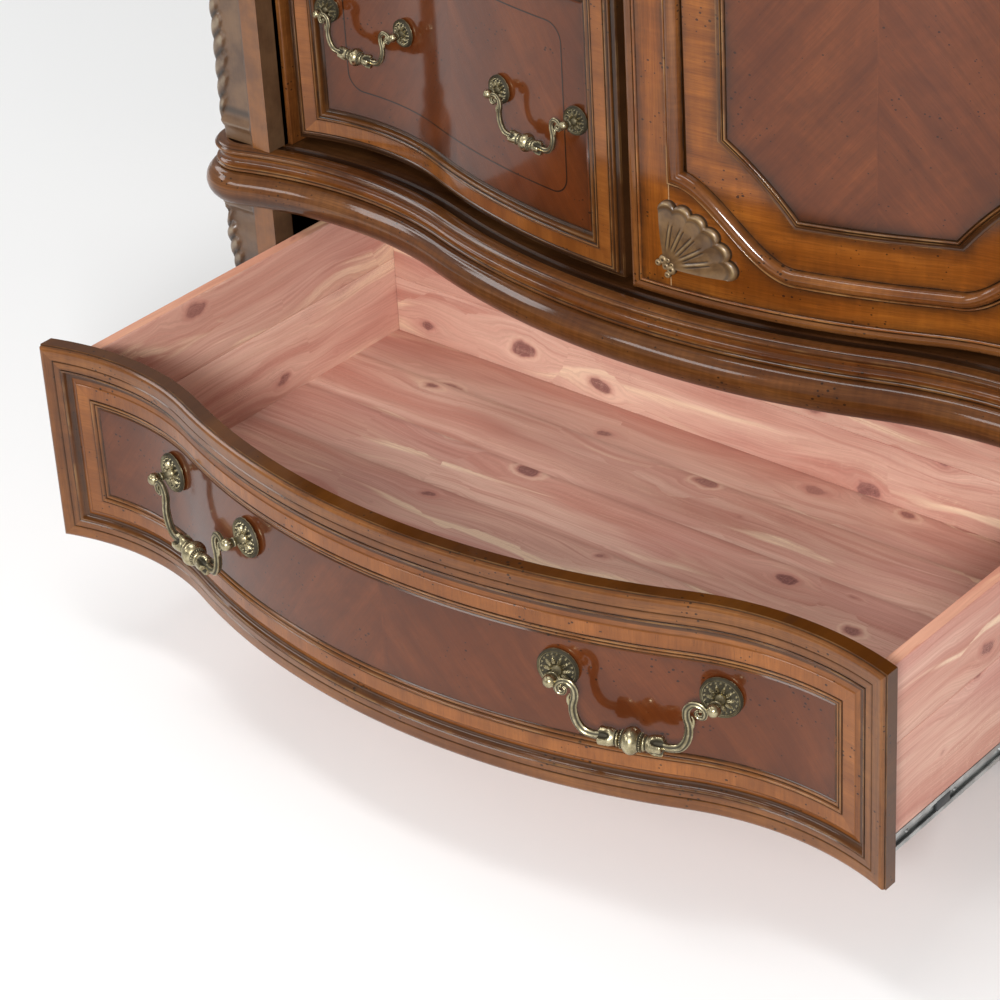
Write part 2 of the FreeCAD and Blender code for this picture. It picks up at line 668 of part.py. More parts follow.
def build_slides():
    """Full-extension steel slides under the bottom drawer's sides, with their bearers."""
    height = ("slide_low", "slide_low + slide_height")
    starts = {"slide_case_members": "closed_datum + slide_start + 20",
              "slide_middle_members": "closed_datum + slide_start + 10 - pull_out / 2",
              "slide_drawer_members": "closed_datum + slide_start - pull_out"}
    order = ("slide_drawer_members", "slide_middle_members", "slide_case_members")
    for step, name in enumerate(order):
        near = "box_half - slide_thick + %d * (slide_thick + 0.3)" % step
        pair = []
        for side in (-1, 1):
            span = ["%d * (%s)" % (side, near), "%d * (%s + slide_thick)" % (side, near)]
            pair.append(box("%s_%d" % (name, side > 0), span if side > 0 else span[::-1],
                            (starts[name], starts[name] + " + slide_long"), height))
        node(group(name, pair))
    gap = "box_half + 2 * slide_thick + 0.6"
    node(group("slide_bearers", [
        box("slide_bearer_left", ("board - case_half", "-(%s)" % gap),
            ("post_back", "post_back + 460"), ("slide_low - 2", "slide_low + slide_height + 2")),
        box("slide_bearer_right", (gap, "case_half - board"),
            ("post_back", "post_back + 460"), ("slide_low - 2", "slide_low + slide_height + 2"))]))


# ------------------------------------------------------------------ the upper drawers and the door

def build_upper_drawers(face, back):
    """The column of deep drawers on the left."""
    for level in range(UPPER_DRAWERS):
        name = "drawer_%d" % (level + 1)
        low = "upper_low + %d * pitch" % level
        node(front_plate(name + "_front", face, back, ("-upper_outer", "-upper_inner"),
                         (low, low + " + upper_height")))
        box_low = low + " + upper_box_rise"
        height = (box_low, box_low + " + upper_box_high")
        span = ("upper_datum - 100", "upper_box_back")
        outer = box(name + "_outer_block", ("-upper_box_outer", "upper_side - upper_box_outer"),
                    span, height)
        inner = box(name + "_inner_block", ("-upper_box_inner - upper_side", "-upper_box_inner"),
                    span, height)
        node(group(name + "_sides", [common(name + "_side_outer", outer, back),
                                     common(name + "_side_inner", inner, back)]))
        between = ("upper_side - upper_box_outer", "-upper_box_inner - upper_side")
        node(box(name + "_back", between, ("upper_box_back - upper_side", "upper_box_back"),
                 height))
        floor = box(name + "_floor", between, (span[0], "upper_box_back - upper_side"),
                    (box_low + " + 6", box_low + " + 6 + floor_thick"))
        node(common(name + "_bottom", floor, back))
        hang_pulls(name, PULL_X_UPPER, dim("upper_datum"),
                   dim("upper_low") + level * dim("pitch") + PULL_Z_UPPER, dim("small_pull"))


def build_door(face, back):
    """The single door on the right: frame, panel, carved shells, hinges and drop pull."""
    leaf_back = slab("door_back", "upper_datum", -dim("door_thick"))
    high = "upper_low + door_high"
    blank = front_plate("door_blank", face, leaf_back, ("door_inner", "upper_outer"),
                        ("upper_low", high))
    inner_x = ("door_inner + stile", "upper_outer - stile")
    inner_z = ("upper_low + stile", high + " - stile")
    light = box("door_light", inner_x, ("-%d" % BEYOND, str(BEYOND)), inner_z)
    node(cut("door_frame", blank, light))
    panel_face = slab("panel_face", "upper_datum", -PANEL_SINK)
    panel_back = slab("panel_back", "upper_datum", -PANEL_BACK)
    node(front_plate("door_panel", panel_face, panel_back, inner_x, inner_z))
    shell_face = slab("shell_face", "upper_datum", SHELL_RISE)
    shells = []
    corners_x = (dim("door_inner") + SHELL_INSET, dim("upper_outer") - SHELL_INSET)
    corners_z = (dim("upper_low") + SHELL_INSET, dim("upper_low") + dim("door_high") - SHELL_INSET)
    for across, corner_x in enumerate(corners_x):
        for rise, corner_z in enumerate(corners_z):
            tag = "shell_%d_%d" % (across, rise)
            fan = cylinder(tag + "_fan", SHELL_RADIUS, BEYOND, (corner_x, -BEYOND, corner_z),
                           (0, 1, 0))
            x_range = sorted((corner_x, corner_x + (1 - 2 * across) * SHELL_RADIUS))
            z_range = sorted((corner_z, corner_z + (1 - 2 * rise) * SHELL_RADIUS))
            quarter = box(tag + "_quarter", map(str, x_range), ("-%d" % BEYOND, str(BEYOND)),
                          map(str, z_range))
            skin = cut(tag + "_skin", shell_face, face)
            shells.append(common(tag, common(tag + "_blank", skin, quarter), fan))
    node(group("door_shells", shells))
    build_hinges()
    build_drop_pull()


def build_hinges():
    """Three butt hinges: the case's leaves carry the pins, the door's leaves turn on them."""
    x, y = dim("hinge_x"), dim("hinge_y")
    upper = 2 * HINGE_HALF - KNUCKLE_LONG
    play = 0.3
    case_leaves, door_leaves = [], []
    for index, height in enumerate(HINGE_HEIGHTS):
        low = height - HINGE_HALF
        knuckles = [cylinder("hinge_pin_%d" % index, "pin", 2 * HINGE_HALF, (x, y, low), (0, 0, 1))]
        for part, start in (("low", low), ("high", low + upper)):
            knuckles.append(cylinder("hinge_%s_%d" % (part, index), BARREL_RADIUS, KNUCKLE_LONG,
                                     (x, y, start), (0, 0, 1)))
            knuckles.append(box("hinge_arm_%s_%d" % (part, index), ("hinge_x", "post_inner"),
                                ("hinge_y - 1", "hinge_y + 1"),
                                (str(start), str(start + KNUCKLE_LONG))))
        knuckles.append(box("hinge_leaf_%d" % index, ("post_inner - 1.5", "post_inner"),
                            ("hinge_y - 1", "hinge_y + %d" % LEAF_DEPTH),
                            (str(low), str(low + 2 * HINGE_HALF))))
        case_leaves.append(fuse("hinge_case_%d" % index, knuckles))
        bottom, top = low + KNUCKLE_LONG + play, low + upper - play
        barrel = cylinder("hinge_barrel_%d" % index, BARREL_RADIUS, top - bottom, (x, y, bottom),
                          (0, 0, 1))
        leaf = box("hinge_door_leaf_%d" % index, ("upper_outer + 0.05", "upper_outer + 1.5"),
                   ("hinge_y", "hinge_y + %d" % LEAF_DEPTH), (str(bottom), str(top)))
        drill = cylinder("hinge_drill_%d" % index, "pin + pin_play", HINGE_HALF, (x, y, bottom - 8),
                         (0, 0, 1))
        door_leaves.append(cut("hinge_door_%d" % index,
                               fuse("hinge_door_body_%d" % index, [barrel, leaf]), drill))
    node(group("hinge_case_leaves", case_leaves))
    node(group("hinge_door_leaves", door_leaves))


def build_drop_pull():
    """The door's drop pull: a rosette with two ears, and a drop that swings on a pin."""
    stand = DROP_STAND
    ears = [cylinder("drop_rosette", 19, ROSETTE_THICK, (0, -1, 0), (0, -1, 0))]
    for side in (-1, 1):
        ears.append(cylinder("drop_post_%d" % (side > 0), 3.2, stand - 3,
                             (side * DROP_EAR_X, -3, 0), (0, -1, 0)))
        ears.append(sphere("drop_ear_%d" % (side > 0), 5, (side * DROP_EAR_X, -stand, 0)))
    drill = cylinder("drop_drill", "pin + pin_play", 50, (-25, -stand, 0), (1, 0, 0))
    mount = cut("drop_mount", fuse("drop_mount_body", ears), drill)
    body = fuse("drop_body", [
        cylinder("drop_pin", "pin", 32, (-16, -stand, 0), (1, 0, 0)),
        sphere("drop_eye", 4, (0, -stand, 0)),
        cylinder("drop_stem", 2.6, 20, (0, -stand, 0), (0, 0, -1)),
        sphere("drop_bead", 8, (0, -stand, -27), (0, 0, 1)),
        sphere("drop_tip", 4, (0, -stand, -36), (0, 0, 1))])
    place = Placement(Vector(DOOR_PULL_X, dim("upper_datum") + face_y(DOOR_PULL_X), DOOR_PULL_Z),
                      Rotation(Vector(0, 0, 1), face_angle(DOOR_PULL_X)))
    node(group("door_pull_mount", [mount], place))
    node(group("door_pull_drop", [body], place))
    tell_pivot("door_pull_drop", place, stand)


# ------------------------------------------------------------------ checks and output

def check_document():
    """Stop if any object failed to build or any piece isn't a sound solid."""
    for item in doc.Objects:
        if "Invalid" in item.State or "Error" in item.State:
            raise RuntimeError("%s failed: %s" % (item.Name, item.State))
    for item in nodes:
        shape = item.Shape
        if shape.isNull() or not shape.isValid() or not shape.Solids:
            raise RuntimeError("%s is not a sound solid" % item.Name)
        if any(solid.Volume < 1 for solid in shape.Solids):
            raise RuntimeError("%s holds an empty solid" % item.Name)


def write_parts():
    """One STEP file for each piece."""
    os.makedirs("parts", exist_ok=True)
    for item in nodes:
        item.Shape.exportStep("parts/%s.step" % item.Label)
    whole = FreeCAD.BoundBox()
    for item in nodes:
        whole.add(item.Shape.BoundBox)
    print(len(nodes), "pieces; box", whole)


upper_face = slab("upper_face", "upper_datum", 0)
upper_back = slab("upper_back", "upper_datum", -dim("front_thick"))
build_case()
build_inside()
build_bottom_drawer()
build_slides()
build_upper_drawers(upper_face, upper_back)
build_door(upper_face, upper_back)
doc.recompute()
check_document()
write_parts()
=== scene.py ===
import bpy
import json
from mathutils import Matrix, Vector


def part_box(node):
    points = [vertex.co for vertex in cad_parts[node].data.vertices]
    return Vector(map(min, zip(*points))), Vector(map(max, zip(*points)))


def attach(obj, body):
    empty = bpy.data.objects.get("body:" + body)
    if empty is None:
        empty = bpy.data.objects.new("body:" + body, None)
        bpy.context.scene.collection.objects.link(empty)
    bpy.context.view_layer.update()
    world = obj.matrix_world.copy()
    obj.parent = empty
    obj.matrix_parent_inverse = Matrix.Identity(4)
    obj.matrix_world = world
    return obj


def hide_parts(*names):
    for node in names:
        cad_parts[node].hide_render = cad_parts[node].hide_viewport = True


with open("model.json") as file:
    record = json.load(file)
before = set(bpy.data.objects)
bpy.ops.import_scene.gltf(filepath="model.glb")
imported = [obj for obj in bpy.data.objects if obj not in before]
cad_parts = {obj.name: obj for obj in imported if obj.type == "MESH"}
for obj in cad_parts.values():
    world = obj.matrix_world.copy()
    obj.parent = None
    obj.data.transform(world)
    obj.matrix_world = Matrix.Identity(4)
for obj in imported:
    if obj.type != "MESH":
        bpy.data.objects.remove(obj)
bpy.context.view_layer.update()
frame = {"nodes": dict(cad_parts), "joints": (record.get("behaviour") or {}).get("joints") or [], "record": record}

import math

import bpy
import numpy as np
from mathutils import Matrix, Vector

# The looks of a serpentine-fronted armoire.  Lengths in tables of profiles are millimetres, and
# everything else is in metres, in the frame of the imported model: X runs to the right, the front
# faces -Y and Z is up.

MM = 0.001


# ------------------------------------------------------------------ places, from the frame

def box(node):
    """A CAD node's box as two arrays."""
    low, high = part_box(node)
    return np.array(low), np.array(high)


def outline(node):
    """A CAD node's box as seen from the front: its low and high corners in x and z."""
    low, high = box(node)
    return low[[0, 2]], high[[0, 2]]


FRONT_LOW, FRONT_HIGH = box("bottom_drawer_front")
# In plan a front is a bow between two hollow-backed ears.  CREST is how far the ears' centres lie
# from the middle; the case has wider ears and a small round corner beyond them.
BOW, EAR, CREST = 0.830, 0.304, 0.425
CASE_EAR, CASE_EAR_Y, CORNER = 0.500, -0.52697, 0.015
HALF_SPAN = FRONT_HIGH[0]
EAR_CREST = EAR - math.sqrt(EAR ** 2 - (HALF_SPAN - CREST) ** 2)
EAR_Y = EAR_CREST - EAR
BOW_Y = EAR_Y + math.sqrt((BOW + EAR) ** 2 - CREST ** 2)
OPEN_DATUM = FRONT_LOW[1] + BOW - BOW_Y
UPPER_DATUM = box("drawer_1_front")[0][1] + BOW - BOW_Y
CASE_HALF = box("side_panel_right")[1][0]
CASE_BACK = box("side_panel_right")[1][1]
BOARD = 0.020
POST_WIDE = 0.066
# The arches cut in the base brackets, and how far out the bead beside them stands.
ARCH_HALF, ARCH_RADIUS, SIDE_ARCH, BEAD_OUT = 0.360, 0.055, (0.150, 0.380), 0.0215


def face_y(x, out=0.0):
    """How far a serpentine face lies behind the ends of its span, moved outward along its normal."""
    x = np.abs(np.asarray(x, float))
    turn = CREST * (BOW + out) / (BOW + EAR)
    bow = BOW_Y - np.sqrt((BOW + out) ** 2 - np.minimum(x, turn) ** 2)
    ear = EAR_Y + np.sqrt(np.maximum((EAR - out) ** 2 - (x - CREST) ** 2, 0))
    return np.where(x < turn, bow, ear)


def lengths(path):
    """How far along a path of flat points each of them lies."""
    return np.concatenate([[0], np.cumsum(np.hypot(*np.diff(path, axis=0).T))])


def face_slope(x):
    """The face's slope in plan, as an angle."""
    return math.atan((face_y(x + 1e-4) - face_y(x - 1e-4)) / 2e-4)


def on_face(datum):
    """A map from (x, z, out) on a serpentine front to space."""
    def place(x, z, out):
        return np.stack([x, datum + face_y(x, out), z], -1)
    return place


def case_plan():
    """The plan of the case from its left back corner to its right one: points, normals, lengths."""
    corner_x = CASE_HALF - CORNER
    corner_y = CASE_EAR_Y + math.sqrt((CASE_EAR + CORNER) ** 2 - (corner_x - CREST) ** 2)
    bow_y = CASE_EAR_Y + math.sqrt((BOW + CASE_EAR) ** 2 - CREST ** 2)
    bow_end = math.asin(CREST / (BOW + CASE_EAR))
    meet = math.atan2(corner_y - CASE_EAR_Y, corner_x - CREST)
    arcs = ((0, bow_y, BOW, 1, np.linspace(-math.pi / 2, bow_end - math.pi / 2, 46, endpoint=False)),
            (CREST, CASE_EAR_Y, CASE_EAR, -1, np.linspace(math.pi / 2 + bow_end, meet, 40)),
            (corner_x, corner_y, CORNER, 1, np.linspace(meet - math.pi, 0, 12)[1:]))
    half = []
    for x, y, radius, way, turns in arcs:
        for cos, sin in zip(np.cos(turns), np.sin(turns)):
            half.append((x + radius * cos, y + radius * sin, way * cos, way * sin))
    for y in np.linspace(corner_y, CASE_BACK, 24)[1:]:
        half.append((CASE_HALF, y, 1, 0))
    right = np.array(half)
    left = right[:0:-1] * (-1, 1, -1, 1)
    plan = np.vstack([left, right])
    return plan[:, :2], plan[:, 2:], lengths(plan[:, :2])


# ------------------------------------------------------------------ profiles

def trace(*steps, per_arc=8):
    """A profile through (along, out) points in millimetres, dense beside its corners.

    A third number in a step bulges the run before it outward by that much.
    """
    line = [np.array(steps[0][:2], float)]
    for step in steps[1:]:
        start, end = line[-1], np.array(step[:2], float)
        chord = end - start
        length = math.hypot(*chord)
        if len(step) > 2:
            normal = np.array((-chord[1], chord[0])) / length
            for t in np.linspace(0, 1, per_arc + 1)[1:-1]:
                line.append(start + chord * t + normal * step[2] * 4 * t * (1 - t))
        else:
            near = [r for r in (0.8, 2.4) if length > 2 * r + 0.4]
            for t in [r / length for r in near] + [1 - r / length for r in near[::-1]]:
                line.append(start + chord * t)
        line.append(end)
    return np.array(line) * MM


def patina(line):
    """How much dark glaze has settled, and how far the finish is rubbed, along a profile; the rubbed light on
    edges is partly a painted highlight.
    """
    spread = 1.1 * MM
    step = np.diff(line, axis=0)
    bend = np.zeros(len(line))
    bend[1:-1] = np.diff(np.unwrap(np.arctan2(step[:, 1], step[:, 0])))
    run = lengths(line)
    near = np.exp(-np.abs(run[:, None] - run[None]) / spread)
    hollow = near @ np.clip(bend, 0, None)
    edge = near @ np.clip(-bend, 0, None)
    return np.clip(hollow * 1.1 - edge * 0.3, 0, 1), np.clip(edge - 0.45 - hollow, 0, 1)


# ------------------------------------------------------------------ meshes

class Form:
    """The growing mesh of one piece, with its grain, tone, glaze and rubbed edges at each point; the rubbed light
    is partly a painted highlight.
    """

    def __init__(self):
        self.points, self.faces, self.grain, self.tone, self.marks = [], [], [], [], []
        self.count = 0

    def sheet(self, points, grain=None, tone=(1, 1, 1), glaze=0.0, wear=0.0, figure=1.0,
              flip=False, loop=False):
        """A grid of points; loop joins its last column to its first."""
        points = np.asarray(points, float)
        rows, columns = points.shape[:2]
        self.points.append(points.reshape(-1, 3))
        grain = points if grain is None else grain
        self.grain.append(np.broadcast_to(grain, points.shape).reshape(-1, 3))
        self.tone.append(np.broadcast_to(np.asarray(tone, float), points.shape).reshape(-1, 3))
        marks = [np.broadcast_to(np.asarray(mark, float), (rows, columns))
                 for mark in (glaze, wear, figure)]
        self.marks.append(np.stack(marks, -1).reshape(-1, 3))
        index = np.arange(rows * columns).reshape(rows, columns) + self.count
        if loop:
            index = np.hstack([index, index[:, :1]])
        quads = np.stack([index[:-1, :-1], index[:-1, 1:], index[1:, 1:], index[1:, :-1]], -1)
        quads = quads.reshape(-1, 4)
        self.faces.append(quads[:, ::-1] if flip else quads)
        self.count += rows * columns
        return self

    def join(self, other, flip):
        """Take in another form's sheets."""
        for faces in other.faces:
            self.faces.append((faces[:, ::-1] if flip else faces) + self.count)
        for own, taken in ((self.points, other.points), (self.grain, other.grain),
                           (self.tone, other.tone), (self.marks, other.marks)):
            own.extend(taken)
        self.count += other.count

    def cap(self, ring, flip=False, **looks):
        """Close a ring of points with a fan."""
        ring = np.asarray(ring, float)
        middle = np.broadcast_to(ring.mean(0), ring.shape)
        return self.sheet(np.stack([ring, middle]), flip=flip, loop=True, **looks)

    def piece(self, name, body, material, slot, replaces=(), crease=35):
        """The finished object, riding on its body."""
        mesh = bpy.data.meshes.new(name)
        mesh.from_pydata(np.vstack(self.points).tolist(), [], np.vstack(self.faces).tolist())
        for key, values in (("grain", self.grain), ("tone", self.tone)):
            layer = mesh.attributes.new(key, "FLOAT_VECTOR", "POINT")
            layer.data.foreach_set("vector", np.vstack(values).astype(np.float32).ravel())
        marks = np.vstack(self.marks)
        for column, key in enumerate(("glaze", "wear", "figure")):
            layer = mesh.attributes.new(key, "FLOAT", "POINT")
            layer.data.foreach_set("value", marks[:, column].astype(np.float32))
        mesh.shade_smooth()
        mesh.set_sharp_from_angle(angle=math.radians(crease))
        mesh.materials.append(material)
        item = bpy.data.objects.new(name, mesh)
        bpy.context.scene.collection.objects.link(item)
        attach(item, body)
        if replaces:
            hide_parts(*replaces)
        return item


def bands_at(inset, bands):
    """The tone of each profile row, and which rows have their grain across the frame."""
    tones, crossed = np.zeros((len(inset), 3)), np.zeros(len(inset), bool)
    for row, depth in enumerate(inset):
        tones[row], crossed[row] = next(band[1:] for band in bands if depth <= band[0] * MM + 1e-9)
    return tones, crossed


def framed(form, place, low, high, line, bands, columns, seed=0.0):
    """A profile mitred round a rectangle from low to high corner, given as (x, z)."""
    inset, out = line[:, 0], line[:, 1]
    glaze, wear = patina(line)
    tones, crossed = bands_at(inset, bands)
    figure = np.where(crossed, 0.40, 0.62)[:, None]
    for side in range(4):
        level = side % 2 == 0
        u = np.linspace(0, 1, columns[0] if level else columns[1])
        first = (low if side in (0, 3) else high)[1 if level else 0]
        start = (low[0] if level else low[1]) + inset
        end = (high[0] if level else high[1]) - inset
        along = start[:, None] + (end - start)[:, None] * u
        inward = 1 if side in (0, 3) else -1
        away = np.broadcast_to((first + inward * inset)[:, None], along.shape)
        x, z = (along, away) if level else (away, along)
        depth = np.broadcast_to(out[:, None], along.shape)
        across = np.broadcast_to(inset[:, None], along.shape)
        kind = np.full(along.shape, seed + 0.37 * side)
        grain = np.where(crossed[:, None, None], np.stack([across, along, kind + 0.2], -1),
                         np.stack([along, across, kind], -1))
        form.sheet(place(x, z, depth), grain, tones[:, None], glaze[:, None], wear[:, None],
                   figure, flip=side in (1, 2))
    return form


def field(form, place, low, high, out, tone, columns, matched=None, shade=0.25, seed=5.0,
          flip=False):
    """The flat middle of a frame, with its veneer matched about one line when asked."""
    x, z = np.meshgrid(np.linspace(low[0], high[0], columns[0]),
                       np.linspace(low[1], high[1], columns[1]))
    edge = np.minimum(np.minimum(x - low[0], high[0] - x), np.minimum(z - low[1], high[1] - z))
    grain = np.stack([x, z, np.full(x.shape, seed)], -1)
    if matched is not None:
        aside = np.abs(x - matched)
        grain = np.stack([z * 0.8 - aside * 0.6, aside * 0.8 + z * 0.6,
                          seed + 0.1 * (x > matched)], -1)
    return form.sheet(place(x, z, np.full(x.shape, out)), grain, tone,
                      shade * np.exp(-edge / 0.010), figure=0.3, flip=flip)


def smooth_path(knots, count):
    """A smooth line through knots, evenly cut in each span."""
    knots = np.asarray(knots, float)
    padded = np.vstack([2 * knots[0] - knots[1], knots, 2 * knots[-1] - knots[-2]])
    points = []
    for a, b, c, d in zip(padded, padded[1:], padded[2:], padded[3:]):
        for t in np.linspace(0, 1, count, endpoint=False):
            points.append(0.5 * (2 * b + (c - a) * t + (2 * a - 5 * b + 4 * c - d) * t ** 2
                                 + (3 * b - a - 3 * c + d) * t ** 3))
    return np.array(points + [knots[-1]])


def tube(form, path, radii, sides=14, lobes=0, depth=0.0, side_axis=(0, 1, 0), **looks):
    """A bar along a path; lobes cut reeds of a given depth along it."""
    path = np.asarray(path, float)
    radii = np.broadcast_to(radii, len(path))
    ahead = np.gradient(path, axis=0)
    ahead /= np.linalg.norm(ahead, axis=1)[:, None]
    first = np.broadcast_to(np.asarray(side_axis, float), path.shape)
    first = first - ahead * (first * ahead).sum(1)[:, None]
    first /= np.linalg.norm(first, axis=1)[:, None]
    second = np.cross(ahead, first)
    turn = np.linspace(0, 2 * math.pi, sides, endpoint=False)
    ridge = 1 - depth * (0.5 - 0.5 * np.cos(lobes * turn)) if lobes else np.ones(sides)
    ring = (first[:, None] * np.cos(turn)[:, None] + second[:, None] * np.sin(turn)[:, None])
    points = path[:, None] + ring * ridge[:, None] * radii[:, None, None]
    looks.setdefault("glaze", (1 - ridge) / depth * 0.9 if lobes else 0.0)
    form.sheet(points, loop=True, **looks)
    looks.pop("glaze")
    form.cap(points[0], flip=True, **looks)
    return form.cap(points[-1], **looks)


def turned(form, centre, axis, line, sides=40, relief=None, **looks):
    """A body of revolution: line lists (radius, height along the axis) in metres."""
    axis = np.asarray(axis, float) / np.linalg.norm(axis)
    aside = np.cross(axis, (0, 0, 1) if abs(axis[2]) < 0.9 else (1, 0, 0))
    aside /= np.linalg.norm(aside)
    third = np.cross(axis, aside)
    turn = np.linspace(0, 2 * math.pi, sides, endpoint=False)
    radius = np.repeat(line[:, :1], sides, 1)
    rise = np.repeat(line[:, 1:], sides, 1)
    glaze = np.repeat(patina(np.stack([line[:, 1], line[:, 0]], -1))[0][:, None], sides, 1)
    if relief is not None:
        radius, rise, extra = relief(radius, rise, turn[None])
        glaze = np.maximum(glaze, extra)
    ring = aside * np.cos(turn)[:, None] + third * np.sin(turn)[:, None]
    points = np.asarray(centre) + ring * radius[..., None] + axis * rise[..., None]
    return form.sheet(points, glaze=np.clip(glaze, 0, 1), loop=True, flip=True, **looks)


# ------------------------------------------------------------------ materials

class Shader:
    """A material's node tree, with short ways to add and join nodes."""

    def __init__(self, name):
        self.material = bpy.data.materials.new(name)
        self.material.use_nodes = True
        self.tree = self.material.node_tree
        self.surface = self.tree.nodes["Principled BSDF"]

    def add(self, kind, inputs=None, output=0, **settings):
        node = self.tree.nodes.new("ShaderNode" + kind)
        for key, value in settings.items():
            setattr(node, key, value)
        for key, value in (inputs or {}).items():
            self.set(node.inputs[key], value)
        return node.outputs[output]

    def set(self, socket, value):
        if isinstance(value, bpy.types.NodeSocket):
            self.tree.links.new(value, socket)
        elif hasattr(socket.default_value, "__len__") and len(socket.default_value) == 4:
            socket.default_value = (*value, 1.0)
        else:
            socket.default_value = value

    def math(self, operation, a, b=0.0):
        return self.add("Math", {0: a, 1: b}, operation=operation)

    def times(self, a, b):
        return self.math("MULTIPLY", a, b)

    def plus(self, a, b):
        return self.math("ADD", a, b)

    def minus(self, a, b):
        return self.math("SUBTRACT", a, b)

    def clamp(self, value, low, high):
        """Spread value from low..high to 0..1."""
        return self.add("MapRange", {"Value": value, "From Min": low, "From Max": high},
                        interpolation_type="SMOOTHSTEP")

    def spread(self, value, low, high):
        """Spread a value of 0..1 to low..high."""
        return self.add("MapRange", {"Value": value, "To Min": low, "To Max": high})

    def mix(self, factor, a, b, blend="MIX"):
        node = self.tree.nodes.new("ShaderNodeMix")
        node.data_type, node.blend_type = "RGBA", blend
        self.set(node.inputs["Factor"], factor)
        self.set(node.inputs[6], a)
        self.set(node.inputs[7], b)
        return node.outputs[2]

    def noise(self, vector, scale, detail=3.0, rough=0.5, twist=0.0):
        return self.add("TexNoise", {"Vector": vector, "Scale": scale, "Detail": detail,
                                     "Roughness": rough, "Distortion": twist})

    def stretch(self, vector, scale):
        return self.add("VectorMath", {0: vector, 1: scale}, operation="MULTIPLY")

    def streaks(self, vector, scale, detail=3.0, rough=0.5, twist=0.0):
        """Noise finer along some axes than along others."""
        return self.noise(self.stretch(vector, scale), 1.0, detail, rough, twist)

    def vary(self, share, color, pattern, dark, light):
        """Multiply a share of a color by dark..light, as a pattern of 0..1 says."""
        return self.mix(share, color, self.mix(pattern, dark, light), "MULTIPLY")

    def finish(self, color, roughness, height=None, strength=0.3, distance=0.0005, **extra):
        self.set(self.surface.inputs["Base Color"], color)
        self.set(self.surface.inputs["Roughness"], roughness)
        for key, value in extra.items():
            self.set(self.surface.inputs[key.replace("_", " ")], value)
        if height is not None:
            bump = self.add("Bump", {"Height": height, "Strength": strength, "Distance": distance})
            self.set(self.surface.inputs["Normal"], bump)
        return self.material


def attribute(shader, name, output):
    return shader.add("Attribute", attribute_name=name, output=output)


def along_axis(shader, axis):
    """Object coordinates turned so that the grain runs along one axis."""
    place = shader.add("TexCoord", output=3)
    turn = {"x": (0, 0, 0), "y": (0, 0, math.pi / 2), "z": (0, math.pi / 2, 0)}[axis]
    return shader.add("Mapping", {"Vector": place, "Rotation": turn})


def finished_wood(name, axis=None, tone=None, coat=0.70):
    """Stained, glazed and rubbed walnut: from a mesh's own grain and tone, or along one axis."""
    s = Shader(name)
    grain = attribute(s, "grain", 1) if axis is None else along_axis(s, axis)
    base = attribute(s, "tone", 1) if tone is None else tone
    glaze = attribute(s, "glaze", 2)
    wear = attribute(s, "wear", 2)
    plain = s.minus(1.0, attribute(s, "figure", 2)) if axis is None else 0.3
    figure = s.streaks(grain, (3.0, 42.0, 9.0), 4.0, 0.6, 0.6)
    streak = s.streaks(grain, (14.0, 520.0, 31.0), 2.0, 0.6)
    cloud = s.noise(grain, 7.0, 3.0, 0.55, 0.4)
    ripple = s.streaks(grain, (160.0, 16.0, 5.0), 1.0, 0.5)
    pore = s.streaks(grain, (60.0, 1500.0, 70.0), 1.0, 0.5)
    light = s.mix(s.clamp(figure, 0.30, 0.72), (0.62, 0.54, 0.46), (1.34, 1.34, 1.30))
    light = s.vary(0.55, light, s.clamp(streak, 0.35, 0.7), (0.72, 0.68, 0.62), (1.25, 1.27, 1.30))
    light = s.vary(0.75, light, s.clamp(cloud, 0.3, 0.7), (0.78, 0.66, 0.60), (1.18, 1.24, 1.20))
    light = s.vary(0.35, light, s.clamp(ripple, 0.35, 0.65), (0.80, 0.80, 0.80), (1.2, 1.2, 1.2))
    light = s.mix(plain, light, (1.0, 1.0, 1.0))
    color = s.mix(1.0, base, light, "MULTIPLY")
    mottle = s.streaks(grain, (9.0, 16.0, 9.0), 4.0, 0.62, 0.5)
    color = s.vary(0.55, color, s.clamp(mottle, 0.32, 0.70), (0.62, 0.56, 0.54), (1.22, 1.26, 1.22))
    color = s.mix(s.times(s.clamp(pore, 0.60, 0.72), 0.35), color, (0.03, 0.012, 0.006))
    place = s.add("TexCoord", output=3)
    speck = s.add("TexVoronoi", {"Vector": s.stretch(place, (130.0, 130.0, 170.0)), "Scale": 1.0})
    chance = s.noise(place, 21.0, 2.0)
    size = s.clamp(chance, 0.40, 0.70)
    dot = s.math("LESS_THAN", speck, s.times(size, 0.22))
    color = s.mix(s.times(dot, 0.78), color, (0.010, 0.005, 0.003))
    uneven = s.clamp(s.noise(place, 60.0, 3.0, 0.6), 0.25, 0.62)
    dark = s.times(glaze, s.add("MapRange", {"Value": uneven, "To Min": 0.55}))
    color = s.mix(s.math("MINIMUM", dark, 0.94), color, (0.016, 0.009, 0.005))
    # Rubbed edges turned a light gold: partly rubbing of the finish, partly a painted highlight along beads and
    # edges.
    rubbed = s.times(wear, s.clamp(s.noise(place, 26.0, 3.0, 0.6), 0.40, 0.66))
    color = s.mix(s.times(rubbed, 0.62), color, (0.32, 0.185, 0.07))
    rough = s.spread(cloud, 0.25, 0.42)
    pits = s.plus(s.times(dot, 0.9), s.times(s.clamp(pore, 0.58, 0.72), 0.4))
    height = s.minus(s.times(streak, 0.35), pits)
    return s.finish(color, rough, height, 0.30, 0.0004, Coat_Weight=coat, Coat_Roughness=0.09,
                    Specular_IOR_Level=0.05)


